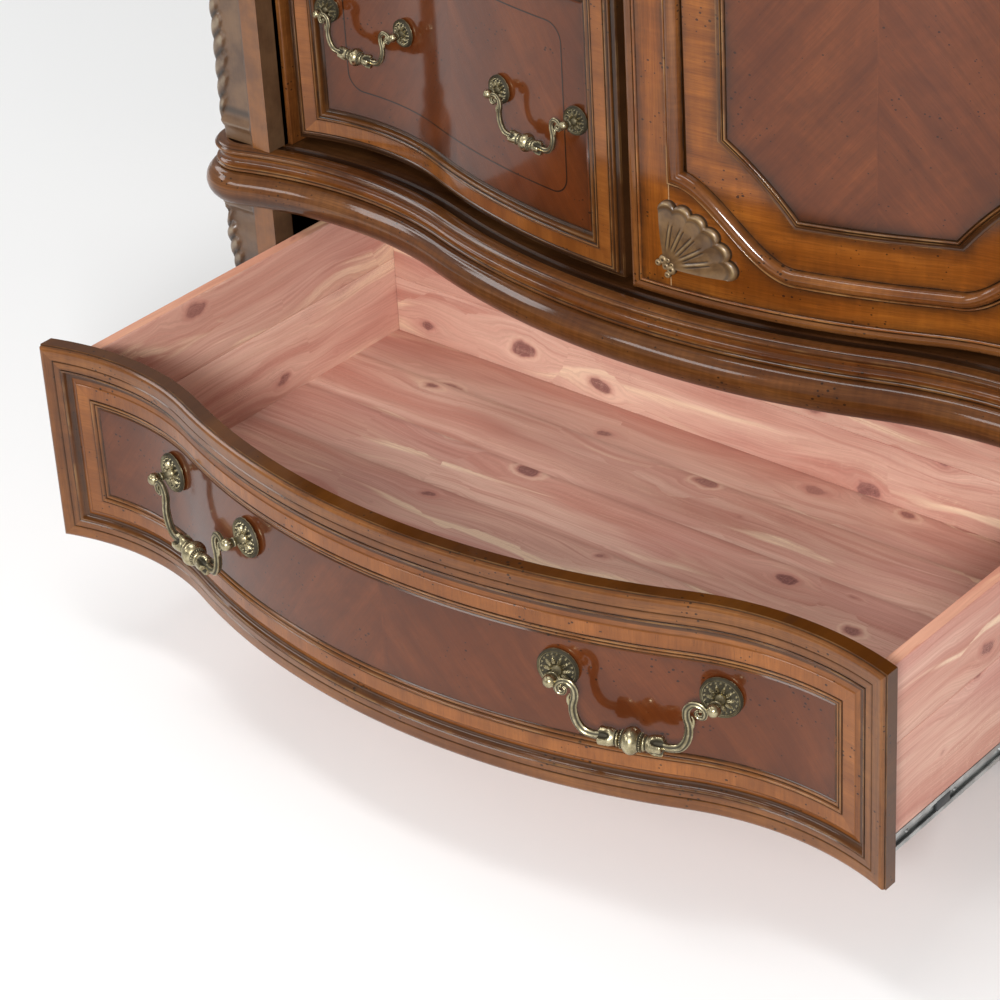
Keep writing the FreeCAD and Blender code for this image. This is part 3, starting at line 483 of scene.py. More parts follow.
def raw_wood(name, axis, light, dark, rough=0.62, coarse=1.0):
    """Plain secondary timber with its growth lines along one axis."""
    s = Shader(name)
    grain = along_axis(s, axis)
    rings = s.streaks(grain, (1.6 * coarse, 30.0 * coarse, 22.0 * coarse), 4.0, 0.6, 0.9)
    fine = s.streaks(grain, (11.0, 620.0, 620.0), 2.0, 0.6)
    cloud = s.noise(grain, 4.0, 2.0)
    color = s.mix(s.clamp(rings, 0.33, 0.68), light, dark)
    color = s.vary(0.4, color, s.clamp(fine, 0.35, 0.68), (0.72, 0.68, 0.62), (1.2, 1.2, 1.2))
    color = s.vary(0.5, color, cloud, (0.78, 0.76, 0.74), (1.15, 1.15, 1.15))
    return s.finish(color, s.spread(fine, rough - 0.06, rough + 0.1), fine, 0.25, 0.0003)


def cedar():
    """Bare aromatic cedar: pink heartwood, cream streaks, boards that differ, and many knots."""
    s = Shader("cedar_wood")
    grain = attribute(s, "grain", 1)
    board = s.add("SeparateXYZ", {0: grain}, output=2)
    own = s.add("TexWhiteNoise", {"W": board}, noise_dimensions="1D")
    shift = s.add("CombineXYZ", {"X": s.times(own, 3.7), "Y": s.times(board, 0.113), "Z": 0.0})
    place = s.add("VectorMath", {0: grain, 1: shift}, operation="ADD")
    shake = s.add("TexNoise", {"Vector": place, "Scale": 38.0, "Detail": 3.0}, output=1)
    shake = s.add("VectorMath", {0: shake, 1: (0.5, 0.5, 0.5)}, operation="SUBTRACT")
    shake = s.stretch(shake, (0.026, 0.015, 0.0))
    shaken = s.add("VectorMath", {0: place, 1: shake}, operation="ADD")
    cells = s.stretch(shaken, (1.0, 1.9, 0.0))
    knots = s.tree.nodes.new("ShaderNodeTexVoronoi")
    knots.voronoi_dimensions = "2D"
    s.set(knots.inputs["Vector"], cells)
    s.set(knots.inputs["Scale"], 8.4)
    away = s.add("VectorMath", {0: cells, 1: knots.outputs["Position"]}, operation="SUBTRACT")
    parts = s.add("SeparateXYZ", {0: away})
    aside = s.add("SeparateXYZ", {0: away}, output=1)
    reach = s.math("SQRT", s.plus(s.math("POWER", s.times(parts, 0.72), 2.0),
                                  s.math("POWER", s.times(aside, 0.64), 2.0)))
    kinds = s.tree.nodes.new("ShaderNodeSeparateXYZ")
    s.set(kinds.inputs[0], knots.outputs["Color"])
    big = s.add("MapRange", {"Value": kinds.outputs[0], "From Min": 0.20, "From Max": 1.0})
    size = s.times(s.math("POWER", big, 1.8), 0.0125)
    fade = s.math("DIVIDE", reach, s.plus(s.times(size, 2.8), 0.0012))
    bend = s.math("POWER", 2.718, s.times(fade, -1.0))
    warp = s.times(s.times(aside, bend), -0.8)
    lines = s.add("VectorMath", {0: place, 1: s.add("CombineXYZ", {"Y": warp})}, operation="ADD")
    wavy = s.streaks(place, (5.0, 9.0, 1.0), 2.0)
    wander = s.add("CombineXYZ", {"Y": s.times(wavy, 0.028)})
    lines = s.add("VectorMath", {0: lines, 1: wander}, operation="ADD")
    slow = s.streaks(lines, (1.8, 20.0, 3.0), 3.0, 0.58, 0.9)
    sap = s.streaks(lines, (2.3, 23.0, 5.0), 3.0, 0.5, 0.8)
    rings = s.streaks(lines, (2.6, 120.0, 9.0), 3.0, 0.6, 0.6)
    fine = s.streaks(lines, (12.0, 700.0, 30.0), 2.0, 0.6)
    flush = s.streaks(place, (3.0, 7.0, 3.0), 2.0)
    color = s.mix(s.clamp(slow, 0.28, 0.70), (0.52, 0.240, 0.182), (0.72, 0.460, 0.362))
    color = s.mix(s.times(s.clamp(flush, 0.45, 0.72), 0.45), color, (0.56, 0.29, 0.255))
    color = s.mix(s.times(s.clamp(sap, 0.575, 0.66), 0.8), color, (0.90, 0.70, 0.50))
    color = s.mix(s.times(s.clamp(rings, 0.48, 0.70), 0.50), color, (0.45, 0.175, 0.135))
    color = s.vary(0.35, color, s.clamp(fine, 0.35, 0.68), (0.78, 0.74, 0.72), (1.2, 1.2, 1.2))
    color = s.vary(0.5, color, own, (0.88, 0.83, 0.81), (1.10, 1.10, 1.08))
    outside = s.minus(reach, size)
    present = s.clamp(size, 0.0010, 0.0030)
    pale = s.minus(1.0, s.clamp(s.math("ABSOLUTE", s.minus(outside, 0.0042)), 0.0, 0.0048))
    pale = s.times(s.times(pale, present), s.clamp(kinds.outputs[1], 0.45, 0.75))
    color = s.mix(s.times(pale, 0.6), color, (0.86, 0.63, 0.46))
    halo = s.minus(1.0, s.clamp(outside, -0.001, 0.0075))
    color = s.mix(s.times(s.times(halo, present), 0.55), color, (0.47, 0.19, 0.15))
    core = s.minus(1.0, s.clamp(outside, -0.0026, 0.0016))
    knot_rings = s.add("MapRange", {"Value": s.math("SINE", s.times(reach, 2100.0)),
                                    "From Min": -1.0, "To Min": 0.35, "To Max": 1.0})
    deep = s.mix(kinds.outputs[2], (0.20, 0.075, 0.070), (0.36, 0.165, 0.135))
    knot = s.mix(knot_rings, s.mix(1.0, deep, (0.55, 0.5, 0.5), "MULTIPLY"), deep)
    color = s.mix(s.times(s.times(core, present), 0.85), color, knot)
    tinted = s.mix(1.0, color, attribute(s, "tone", 1), "MULTIPLY")
    dark = s.times(attribute(s, "glaze", 2), 0.8)
    color = s.mix(dark, tinted, (0.16, 0.06, 0.04))
    return s.finish(color, 0.58, fine, 0.18, 0.0003, Specular_IOR_Level=0.35)


def antique_brass():
    """Cast brass, rubbed bright on its edges and dark in its hollows."""
    s = Shader("antique_brass")
    place = s.add("TexCoord", output=3)
    cloud = s.noise(place, 120.0, 4.0, 0.6)
    stain = s.clamp(s.noise(place, 300.0, 3.0, 0.6), 0.35, 0.7)
    color = s.mix(s.clamp(cloud, 0.3, 0.7), (0.30, 0.25, 0.145), (0.50, 0.44, 0.28))
    color = s.mix(s.times(stain, 0.4), color, (0.15, 0.12, 0.065))
    glaze = attribute(s, "glaze", 2)
    dark = s.clamp(glaze, 0.15, 0.75)
    color = s.mix(s.times(dark, 0.93), color, (0.022, 0.018, 0.010))
    rough = s.spread(s.plus(s.times(stain, 0.5), dark), 0.24, 0.62)
    metal = s.minus(1.0, s.times(dark, 0.5))
    return s.finish(color, rough, cloud, 0.15, 0.0003, Metallic=metal)


def zinc_steel():
    """Zinc-plated rolled steel with faint drawing lines and a mottled sheen."""
    tone = (0.46, 0.47, 0.46)
    s = Shader("zinc_steel")
    place = s.add("TexCoord", output=3)
    lines = s.streaks(place, (900.0, 6.0, 900.0), 2.0)
    mottle = s.noise(place, 45.0, 3.0)
    color = s.mix(s.clamp(mottle, 0.3, 0.7), tuple(0.72 * c for c in tone),
                  tuple(min(1.25 * c, 1) for c in tone))
    rough = s.spread(lines, 0.26, 0.5)
    return s.finish(color, rough, lines, 0.12, 0.0002, Metallic=0.95)


def gilt_carving():
    """Carved wood in rubbed gilt over brown."""
    s = Shader("rubbed_gilt")
    place = s.add("TexCoord", output=3)
    cloud = s.noise(place, 42.0, 4.0, 0.6)
    glaze = attribute(s, "glaze", 2)
    wear = attribute(s, "wear", 2)
    color = s.mix(s.clamp(cloud, 0.32, 0.68), (0.070, 0.035, 0.013), (0.150, 0.082, 0.031))
    # Rubbed gilt on high places, partly a painted highlight.
    shine = s.times(s.clamp(wear, 0.2, 0.8), s.clamp(cloud, 0.3, 0.55))
    color = s.mix(s.times(shine, 0.7), color, (0.34, 0.235, 0.115))
    color = s.mix(s.times(s.clamp(glaze, 0.1, 0.9), 0.93), color, (0.018, 0.010, 0.005))
    return s.finish(color, s.spread(cloud, 0.30, 0.5), cloud, 0.3, 0.0006,
                    Metallic=s.times(shine, 0.5), Coat_Weight=0.3, Coat_Roughness=0.2)


def carved_wood():
    """The carved corner posts: brown with grey-gold rubbed high places that are partly a painted highlight."""
    s = Shader("carved_walnut")
    place = s.add("TexCoord", output=3)
    cloud = s.noise(place, 24.0, 4.0, 0.6)
    grain = s.streaks(place, (420.0, 420.0, 9.0), 2.0)
    glaze = attribute(s, "glaze", 2)
    wear = attribute(s, "wear", 2)
    color = s.mix(s.clamp(cloud, 0.3, 0.7), (0.066, 0.032, 0.015), (0.135, 0.072, 0.034))
    flat = s.mix(s.clamp(cloud, 0.3, 0.7), (0.10, 0.035, 0.008), (0.20, 0.072, 0.015))
    color = s.mix(attribute(s, "figure", 2), flat, color)
    color = s.vary(0.4, color, grain, (0.7, 0.7, 0.7), (1.25, 1.25, 1.25))
    rub_and_highlight = s.times(s.clamp(wear, 0.15, 0.8), s.clamp(cloud, 0.32, 0.6))
    color = s.mix(s.times(rub_and_highlight, 0.75), color, (0.25, 0.20, 0.135))
    color = s.mix(s.times(s.clamp(glaze, 0.1, 0.9), 0.92), color, (0.014, 0.008, 0.004))
    return s.finish(color, s.spread(cloud, 0.32, 0.5), grain, 0.25, 0.0005, Coat_Weight=0.35,
                    Coat_Roughness=0.2)


def plastic(name, tone):
    """Moulded plastic of the slides' latches."""
    s = Shader(name)
    place = s.add("TexCoord", output=3)
    skin = s.noise(place, 900.0, 2.0)
    color = s.mix(skin, tuple(0.85 * c for c in tone), tuple(1.15 * c for c in tone))
    return s.finish(color, 0.42, skin, 0.1, 0.0002)


WALNUT_TONE = (0.159, 0.0589, 0.0159)
ORANGE_TONE = (0.205, 0.068, 0.0145)
DOOR_TONE = (0.207, 0.0636, 0.00875)
VENEER_TONE = (0.105, 0.0263, 0.00636)
DARK_TONE = (0.0915, 0.0326, 0.00796)
TOP_TONE = (0.085, 0.027, 0.003)
TORUS_TONE = (0.107, 0.0398, 0.0119)
# Painted shade: near-black for the waist moulding's top ledge, which lies in the shadowed gap under the drawers
# and the door.
LEDGE_SHADE_TONE = (0.022, 0.009, 0.004)
# Painted shade: a near-black for faces in the shadowed gap round the fronts, the upper drawers' outer step and the
# waist board.
STEP_SHADE_TONE = (0.040, 0.015, 0.005)

WALNUT = finished_wood("walnut_finish")
WALNUT_TOP = finished_wood("walnut_top", coat=0.08)
CEDAR = cedar()
BRASS = antique_brass()
STEEL = zinc_steel()
GILT = gilt_carving()
CARVED = carved_wood()
CLIP = plastic("slide_latch_plastic", (0.025, 0.026, 0.028))


# ------------------------------------------------------------------ fronts

EDGE = ((0, -20), (0, -5.6), (1.3, -5.0), (1.1, -3.8), (2.2, -1.3), (4.6, 0))


def drawer_front(datum, low, high, line, bands, columns, level=0.0, **veneer):
    """A serpentine front from its profile and bands: moulded frame, veneered field and back."""
    form, place = Form(), on_face(datum)
    framed(form, place, low, high, line, bands, columns, seed=level)
    inset, sink = line[-1]
    field(form, place, low + inset, high - inset, sink, VENEER_TONE, columns, **veneer)
    field(form, place, low, high, -BOARD, DARK_TONE, columns, seed=9.0, flip=True, shade=0)
    return form


def bottom_front():
    """The wide drawer's front: edge band, fine bead, crossband, double bead and veneered field."""
    line = trace(*EDGE, (14.5, 0), (15.4, -1.3), (16.4, -0.2), (23, 0.2), (24, -0.6),
                 (26.6, 0.2, 1.0), (27.6, -2.0), (33, -4.4, -1.2), (38, -3.2), (39, -2.4),
                 (53, -2.4), (54, -3.4), (57.4, -2.8, 1.6), (58.2, -4.4), (61.6, -4.2, 1.3),
                 (62.6, -5.0), (64, -4.0))
    bands = ((1.0, TOP_TONE, False), (24, WALNUT_TONE, False), (33, DARK_TONE, False),
             (38, ORANGE_TONE, False), (53.5, ORANGE_TONE, True), (62.6, WALNUT_TONE, False),
             (99, VENEER_TONE, False))
    low, high = outline("bottom_drawer_front")
    form = drawer_front(OPEN_DATUM, low, high, line, bands, (140, 36), matched=0.0)
    form.piece("bottom_front_looks", "bottom_drawer", WALNUT, "walnut", ("bottom_drawer_front",))


def ribbon(form, place, path, width, out, **looks):
    """A thin inlaid line along a closed path of (x, z) points."""
    ahead = np.roll(path, -1, 0) - np.roll(path, 1, 0)
    ahead /= np.linalg.norm(ahead, axis=1)[:, None]
    aside = np.stack([-ahead[:, 1], ahead[:, 0]], -1) * width / 2
    rows = np.stack([path - aside, path + aside])
    return form.sheet(place(rows[..., 0], rows[..., 1], np.full(rows.shape[:2], out)),
                      loop=True, flip=True, **looks)


def rounded_loop(low, high, radius):
    """A rectangle with rounded corners, as points a small step apart."""
    step = 0.004
    points = []
    corners = ((high[0], high[1], 0), (low[0], high[1], 1), (low[0], low[1], 2), (high[0], low[1], 3))
    for x, z, quarter in corners:
        cx = x - radius * (1 if quarter in (0, 3) else -1)
        cz = z - radius * (1 if quarter in (0, 1) else -1)
        for t in np.linspace(0, math.pi / 2, 9):
            angle = quarter * math.pi / 2 + t
            points.append((cx + radius * math.cos(angle), cz + radius * math.sin(angle)))
    path = [points[0]]
    for a, b in zip(points, points[1:] + points[:1]):
        cuts = max(1, round(math.dist(a, b) / step))
        path += [tuple(np.array(a) + (np.array(b) - a) * k / cuts) for k in range(1, cuts + 1)]
    return np.array(path[:-1])


def upper_front(level):
    """An upper drawer's front: stepped edge, crossband, raised bead frame and inlaid field."""
    node = "drawer_%d_front" % level
    low, high = outline(node)
    line = trace((0, -20), (0, -8), (1.2, -6.2), (5.5, -5.6), (6.3, -3.0), (8.4, -2.2, 0.5),
                 (9.2, -0.8), (11.0, -0.6, 0.6), (11.8, -1.4), (12.6, 0), (27, 0), (27.8, -0.9),
                 (30.2, -0.6, 1.2), (31.2, -1.0), (36.5, -2.6, 2.2), (39, -4.6, -0.6),
                 (40.2, -5.0), (42, -3.6))
    # The outer step, to 5.5 mm in, is painted with shade, since it sits in the dark gap round the drawer.
    bands = ((5.5, STEP_SHADE_TONE, False), (12, DARK_TONE, False), (27.5, ORANGE_TONE, True),
             (30.7, WALNUT_TONE, False), (40.2, DARK_TONE, False), (99, VENEER_TONE, False))
    form = drawer_front(UPPER_DATUM, low, high, line, bands, (84, 52), level,
                        matched=(low[0] + high[0]) / 2, shade=0.5, seed=level + 0.6)
    inlay_inset, inlay_radius, inlay_width, proud = 0.071, 0.020, 0.0016, 0.0002
    loop = rounded_loop(low + inlay_inset, high - inlay_inset, inlay_radius)
    ribbon(form, on_face(UPPER_DATUM), loop, inlay_width, line[-1, 1] + proud,
           tone=(0.03, 0.012, 0.006), glaze=0.7)
    form.piece(node + "_looks", "drawer_%d" % level, WALNUT, "walnut", (node,))


# ------------------------------------------------------------------ the door

def closed_offsets(loop):
    """Outward mitre directions at the points of a closed loop that runs counter-clockwise."""
    before = loop - np.roll(loop, 1, 0)
    after = np.roll(loop, -1, 0) - loop
    normals = []
    for step in (before, after):
        step = step / np.linalg.norm(step, axis=1)[:, None]
        normals.append(np.stack([step[:, 1], -step[:, 0]], -1))
    total = normals[0] + normals[1]
    return total * 2 / np.maximum((total ** 2).sum(1), 0.5)[:, None]


def mirrored_loop(quarter, middle):
    """A closed loop from its lower left quarter, listed from the left middle to the bottom."""
    flip_x = quarter[::-1] * (-1, 1) + (2 * middle[0], 0)
    lower = np.vstack([quarter, flip_x[1:] if np.allclose(flip_x[0], quarter[-1]) else flip_x])
    upper = lower[::-1] * (1, -1) + (0, 2 * middle[1])
    loop = np.vstack([lower, upper])
    keep = np.linalg.norm(loop - np.roll(loop, 1, 0), axis=1) > 1e-6
    return loop[keep]


def along_loop(form, place, loop, line, tone, seed):
    """A profile of (outward, out) points swept round a closed loop."""
    away = closed_offsets(loop)
    glaze, wear = patina(line)
    spots = loop[None] + away[None] * line[:, 0][:, None, None]
    out = np.broadcast_to(line[:, 1][:, None], spots.shape[:2])
    across = np.broadcast_to(line[:, 0][:, None], spots.shape[:2])
    run = np.broadcast_to(lengths(loop), across.shape)
    grain = np.stack([run, across, np.full(across.shape, seed)], -1)
    return form.sheet(place(spots[..., 0], spots[..., 1], out), grain, tone, glaze[:, None],
                      wear[:, None], loop=True, flip=True)


def outline_span(loop, x, upper):
    """The loop's height at each x, on its lower or upper half."""
    middle = (loop[:, 1].min() + loop[:, 1].max()) / 2
    half = loop[(loop[:, 1] > middle) == upper]
    half = half[np.lexsort((np.abs(half[:, 1] - middle), half[:, 0]))]
    inside = half[(half[:, 0] > half[0, 0] + 1e-6) & (half[:, 0] < half[-1, 0] - 1e-6)]
    left = half[half[:, 0] <= half[0, 0] + 1e-6][-1]
    right = half[half[:, 0] >= half[-1, 0] - 1e-6][-1]
    half = np.vstack([left, inside, right])
    return np.interp(x, half[:, 0], half[:, 1])


def shade_near(x, z, loops, strength):
    """Darkening beside raised lines: darkest against them and fading away."""
    reach = 0.0075
    spots = np.stack([x, z], -1).reshape(-1, 1, 2)
    gap = np.full(len(spots), 9.0)
    for loop in loops:
        start, step = loop, np.roll(loop, -1, 0) - loop
        share = ((spots - start) * step).sum(-1) / np.maximum((step ** 2).sum(-1), 1e-12)
        near = start + np.clip(share, 0, 1)[..., None] * step
        gap = np.minimum(gap, np.linalg.norm(spots - near, axis=-1).min(1))
    return strength * np.exp(-gap.reshape(x.shape) / reach)


def columns_between(form, place, x, bottom, top, out, tone, rows=30, grain=None, glaze=0.0,
                    figure=0.75, loops=(), shade=0.5):
    """A flat stretch between two heights at each x."""
    u = np.linspace(0, 1, rows)[:, None]
    z = bottom + (top - bottom) * u + 0 * x
    x = np.broadcast_to(x, z.shape)
    grain = np.stack([x, z, np.full(z.shape, 3.1)], -1) if grain is None else grain(x, z)
    if loops:
        glaze = shade_near(x, z, loops, shade)
    return form.sheet(place(x, z, np.full(z.shape, out)), grain, tone, glaze, figure=figure)


def door_looks():
    """Stiles and rails, an ogee-cornered astragal, and a raised panel of matched veneer."""
    low, high = outline("door_frame")
    low = low - (0, 0.003)
    middle = (low + high) / 2
    place = on_face(UPPER_DATUM)
    form = Form()
    edge = trace((0, -22), (0, -3.2), (1.0, -1.4), (9.6, -0.4, 1.5), (10.4, -2.4), (11.4, -0.4),
                 (13.4, 0.2, 0.8), (14.3, -1.3), (15.4, 0))
    framed(form, place, low, high, edge, ((10, WALNUT_TONE, False), (99, ORANGE_TONE, False)),
           (70, 120))
    rim = edge[-1, 0]
    stile = 0.0495
    bead_x, bead_z, corner_z = low[0] + 0.058, low[1] + 0.054, low[1] + 0.135
    t = np.linspace(0, 1, 30)
    ease = t * t * (3 - 2 * t)
    ogee = np.stack([bead_x + t * 0.128, corner_z - (corner_z - bead_z) * ease], -1)
    rise = np.linspace(middle[1], corner_z, 24)
    level = np.linspace(ogee[-1, 0], middle[0], 16)
    quarter = np.vstack([np.stack([np.full(24, bead_x), rise], -1), ogee[1:],
                         np.stack([level[1:], np.full(15, bead_z)], -1)])
    loop = mirrored_loop(quarter, middle)
    torus = trace((-8.8, -2.2), (-8.0, -3.2), (-7.2, -0.8), (-1.2, 6.6, 1.6), (6.6, 0.2, 2.6),
                  (7.4, -1.2), (8.2, 1.0), (10.0, 1.1, 0.7), (10.8, -1.2), (11.6, 0.0), per_arc=10)
    along_loop(form, place, loop, torus, WALNUT_TONE, 2.2)
    outer = loop + closed_offsets(loop) * 0.0114
    inner = loop - closed_offsets(loop) * 0.0086
    panel = panel_loop(low, middle)
    rim_loop = np.array(((low[0] + rim, low[1] + rim), (high[0] - rim, low[1] + rim),
                         (high[0] - rim, high[1] - rim), (low[0] + rim, high[1] - rim)))
    around = [outer, rim_loop]
    darkening = 0.68

    def upright(side):
        return lambda x, z: np.stack([z, x, np.full(x.shape, 1.7 + side)], -1)
    for side, a, b in ((-1, low[0] + rim, low[0] + stile), (1, high[0] - stile, high[0] - rim)):
        columns_between(form, place, np.linspace(a, b, 12), low[1] + rim, high[1] - rim, 0.0,
                        DOOR_TONE, 160, upright(side), loops=around, shade=darkening)
    x = np.linspace(low[0] + stile, high[0] - stile, 120)
    for bottom, top in ((low[1] + rim, outline_span(outer, x, False)),
                        (outline_span(outer, x, True), high[1] - rim)):
        columns_between(form, place, x, bottom, top, 0.0, DOOR_TONE, 22, loops=around,
                        shade=darkening)
    for joint in (low[0] + stile, high[0] - stile):
        for a, b in ((low[1] + rim, corner_z - 0.01),
                     (2 * middle[1] - corner_z + 0.01, high[1] - rim)):
            columns_between(form, place, np.array([joint - 0.0005, joint + 0.0005]), a, b, 0.0003,
                            (0.40, 0.26, 0.14), 8, glaze=0.05)
    x = np.linspace(inner[:, 0].min(), inner[:, 0].max(), 130)
    columns_between(form, place, x, outline_span(inner, x, False), outline_span(inner, x, True),
                    -0.0022, DOOR_TONE, 220, loops=[inner, panel], shade=darkening)
    door_back(form, place, low, high)
    form.piece("door_frame_looks", "door", WALNUT, "walnut", ("door_frame",))
    raised_panel(panel, middle, place)


def door_back(form, place, low, high):
    """The inside of the door: a flat frame round the recessed back of its panel."""
    inset = 0.055
    line = trace((0, -22), (54, -22), (55, -21), (55, -16))

    def behind(x, z, out):
        return place(low[0] + high[0] - x, z, out)
    framed(form, behind, low, high, line, ((99, WALNUT_TONE, False),), (60, 100), seed=11.0)
    field(form, behind, low + inset, high - inset, line[-1, 1], DARK_TONE, (60, 100), seed=12.0)


def panel_loop(low, middle):
    """The outer edge of the door's raised panel, with hollowed corners."""
    left, bottom, cut = low[0] + 0.103, low[1] + 0.103, np.array((0.080, 0.078))
    t = np.linspace(0, 1, 16)[:, None]
    start, end = np.array((left, bottom + cut[1])), np.array((left + cut[0], bottom))
    arc = start + (end - start) * t + (0.0034, 0.0034) * (4 * t * (1 - t))
    rise = np.linspace(middle[1], bottom + cut[1], 20)[:-1]
    level = np.linspace(left + cut[0], middle[0], 14)[1:]
    return mirrored_loop(np.vstack([np.stack([np.full(19, left), rise], -1), arc,
                                    np.stack([level, np.full(13, bottom)], -1)]), middle)


def raised_panel(loop, middle, place):
    """The raised panel's moulded edge and book-matched veneer."""
    line = trace((-13.4, -0.2), (-12.4, -1.6), (-11.4, 0.3), (-9.4, 0.5, 0.8), (-8.7, -0.9),
                 (-7.6, 1.2), (-1.6, -1.6, -1.8), (-0.8, -3.4), (0.2, -2.3))
    form = Form()
    along_loop(form, place, loop, line, DARK_TONE, 4.4)
    inner = loop - closed_offsets(loop) * 0.0132
    centre_x = middle[0]

    def matched(x, z):
        aside = np.abs(x - centre_x)
        return np.stack([z * 0.78 - aside * 0.62, aside * 0.78 + z * 0.62,
                         6.0 + 0.1 * (x > centre_x)], -1)
    for a, b in ((inner[:, 0].min(), centre_x), (centre_x, inner[:, 0].max())):
        x = np.linspace(a, b, 70)
        columns_between(form, place, x, outline_span(inner, x, False),
                        outline_span(inner, x, True), -0.0003, VENEER_TONE, 150, matched,
                        figure=0.45, loops=[inner], shade=0.85)
    form.piece("door_panel_looks", "door", WALNUT, "veneer", ("door_panel",))


def shell(form, corner, way, place):
    """A scallop shell fanning from a corner of the door, with a small bow at its foot."""
    lobes, start, sweep = 6, math.radians(3), math.radians(91)
    reach = np.concatenate([np.linspace(0.06, 0.90, 40), np.linspace(0.91, 1.03, 14)])
    share = np.linspace(0, 1, 150)
    r, k = np.meshgrid(reach, share, indexing="ij")
    angle = start + sweep * k
    radius = 0.084 - 0.012 * k
    wave = np.abs(np.sin(k * lobes * math.pi))
    rim = 1 - 0.075 * (1 - wave ** 0.6)
    far = radius * rim * np.minimum(r, 1)
    split = (k * lobes) % 1
    seam = np.minimum(split, 1 - split)
    seam = np.where((k < 0.5 / lobes) | (k > 1 - 0.5 / lobes), 0.5, seam)
    thin = np.exp(-(seam * r / 0.060) ** 2) * np.clip((r - 0.26) / 0.12, 0, 1)
    thin = thin * np.clip((0.76 - r) / 0.16, 0, 1)
    groove = np.exp(-((seam * r - 0.11) / 0.035) ** 2) * np.clip((r - 0.26) / 0.1, 0, 1) * (r < 0.7)
    lip = np.exp(-((r - 0.955) / 0.030) ** 2)
    side = np.exp(-np.minimum(k, 1 - k) * r / 0.018)
    hollow = np.clip((r - 0.55) / 0.3, 0, 1) * (1 - lip) * wave
    rise = 0.0024 + 0.0042 * np.sin(np.clip(r, 0, 1) * 2.5) ** 0.9 + 0.0011 * thin
    rise += 0.0010 * lip - 0.0009 * hollow + 0.0006 * side - 0.0006 * groove
    rise = np.where(r > 0.99, rise - (r - 0.99) / 0.04 * 0.0085, rise)
    x = corner[0] + way[0] * far * np.cos(angle)
    z = corner[1] + way[1] * far * np.sin(angle)
    glaze = np.clip(0.9 * groove + 0.55 * np.exp(-((r - 0.885) / 0.03) ** 2) + (r > 0.995)
                    + 0.75 * np.exp(-(r / 0.22) ** 2), 0, 1)
    # Light on the ribs and the rim: partly rubbed gilt, partly a painted highlight.
    wear = np.clip(thin * 1.2 + 0.9 * lip * wave, 0, 1)
    form.sheet(place(x, z, rise), glaze=glaze, wear=wear, flip=way[0] * way[1] < 0)
    for edge in (0, -1):
        ring = place(x[:, edge], z[:, edge], rise[:, edge])
        foot = place(x[:, edge], z[:, edge], np.full(len(reach), -0.0015))
        form.sheet(np.stack([ring, foot]), glaze=1.0, flip=(edge == 0) == (way[0] * way[1] > 0))
    for spin, size, hop in ((-0.95, 0.0052, 0.0080), (0.95, 0.0052, 0.0080), (0.0, 0.0042, 0.0016),
                            (-2.0, 0.0036, 0.0085), (2.0, 0.0036, 0.0085), (-0.35, 0.003, 0.009),
                            (0.35, 0.003, 0.009)):
        tilt = math.atan2(way[1], way[0]) + spin
        x0, z0 = corner[0] + hop * math.cos(tilt), corner[1] + hop * math.sin(tilt)
        u, v = np.meshgrid(np.linspace(0, math.pi / 2, 9), np.linspace(0, 2 * math.pi, 21))
        dip = 1 - 0.45 * np.exp(-((math.pi / 2 - u) / 0.5) ** 2)
        form.sheet(place(x0 + size * np.cos(v) * np.cos(u), z0 + size * np.sin(v) * np.cos(u),
                         0.0022 + size * 1.1 * np.sin(u) * dip),
                   glaze=np.clip(1.1 - u * 1.6, 0, 1) + 0.8 * (u > 1.35), wear=0.8, flip=True)


def door_shells():
    form = Form()
    low, high = outline("door_shells")
    for x, way_x in ((low[0] + 0.010, 1), (high[0] - 0.010, -1)):
        for z, way_z in ((low[1] - 0.002, 1), (high[1] + 0.002, -1)):
            shell(form, (x, z), (way_x, way_z), on_face(UPPER_DATUM))
    form.piece("door_shells_looks", "door", GILT, "gilded", ("door_shells",), crease=50)


# ------------------------------------------------------------------ mouldings

def round_case(line, foot):
    """A line of (up, out) swept round the case: its points, and their distance round the case."""
    spots, normals, run = case_plan()
    plan = spots[None] + normals[None] * line[:, 1][:, None, None]
    height = np.broadcast_to((foot + line[:, 0])[:, None], plan.shape[:2])
    return np.concatenate([plan, height[..., None]], -1), np.broadcast_to(run, height.shape)


def moulding(name, node, foot, steps, tones):
    """A section swept round the case: steps are (up, out) from the lower back edge."""
    line = trace(*steps)
    glaze, wear = patina(line)
    points, run = round_case(line, foot)
    grain = np.stack([run, np.broadcast_to(lengths(line)[:, None], run.shape),
                      np.full(run.shape, foot)], -1)
    tone = np.array([next(tone for limit, tone in tones if up <= limit * MM + 1e-9)
                     for up in line[:, 0]])
    form = Form()
    form.sheet(points, grain, tone[:, None], glaze[:, None], wear[:, None], flip=True)
    for end, flip in ((points[:, 0], False), (points[:, -1], True)):
        form.cap(end, flip=flip, tone=DARK_TONE)
    form.piece(name, "case", WALNUT, "walnut", (node,))


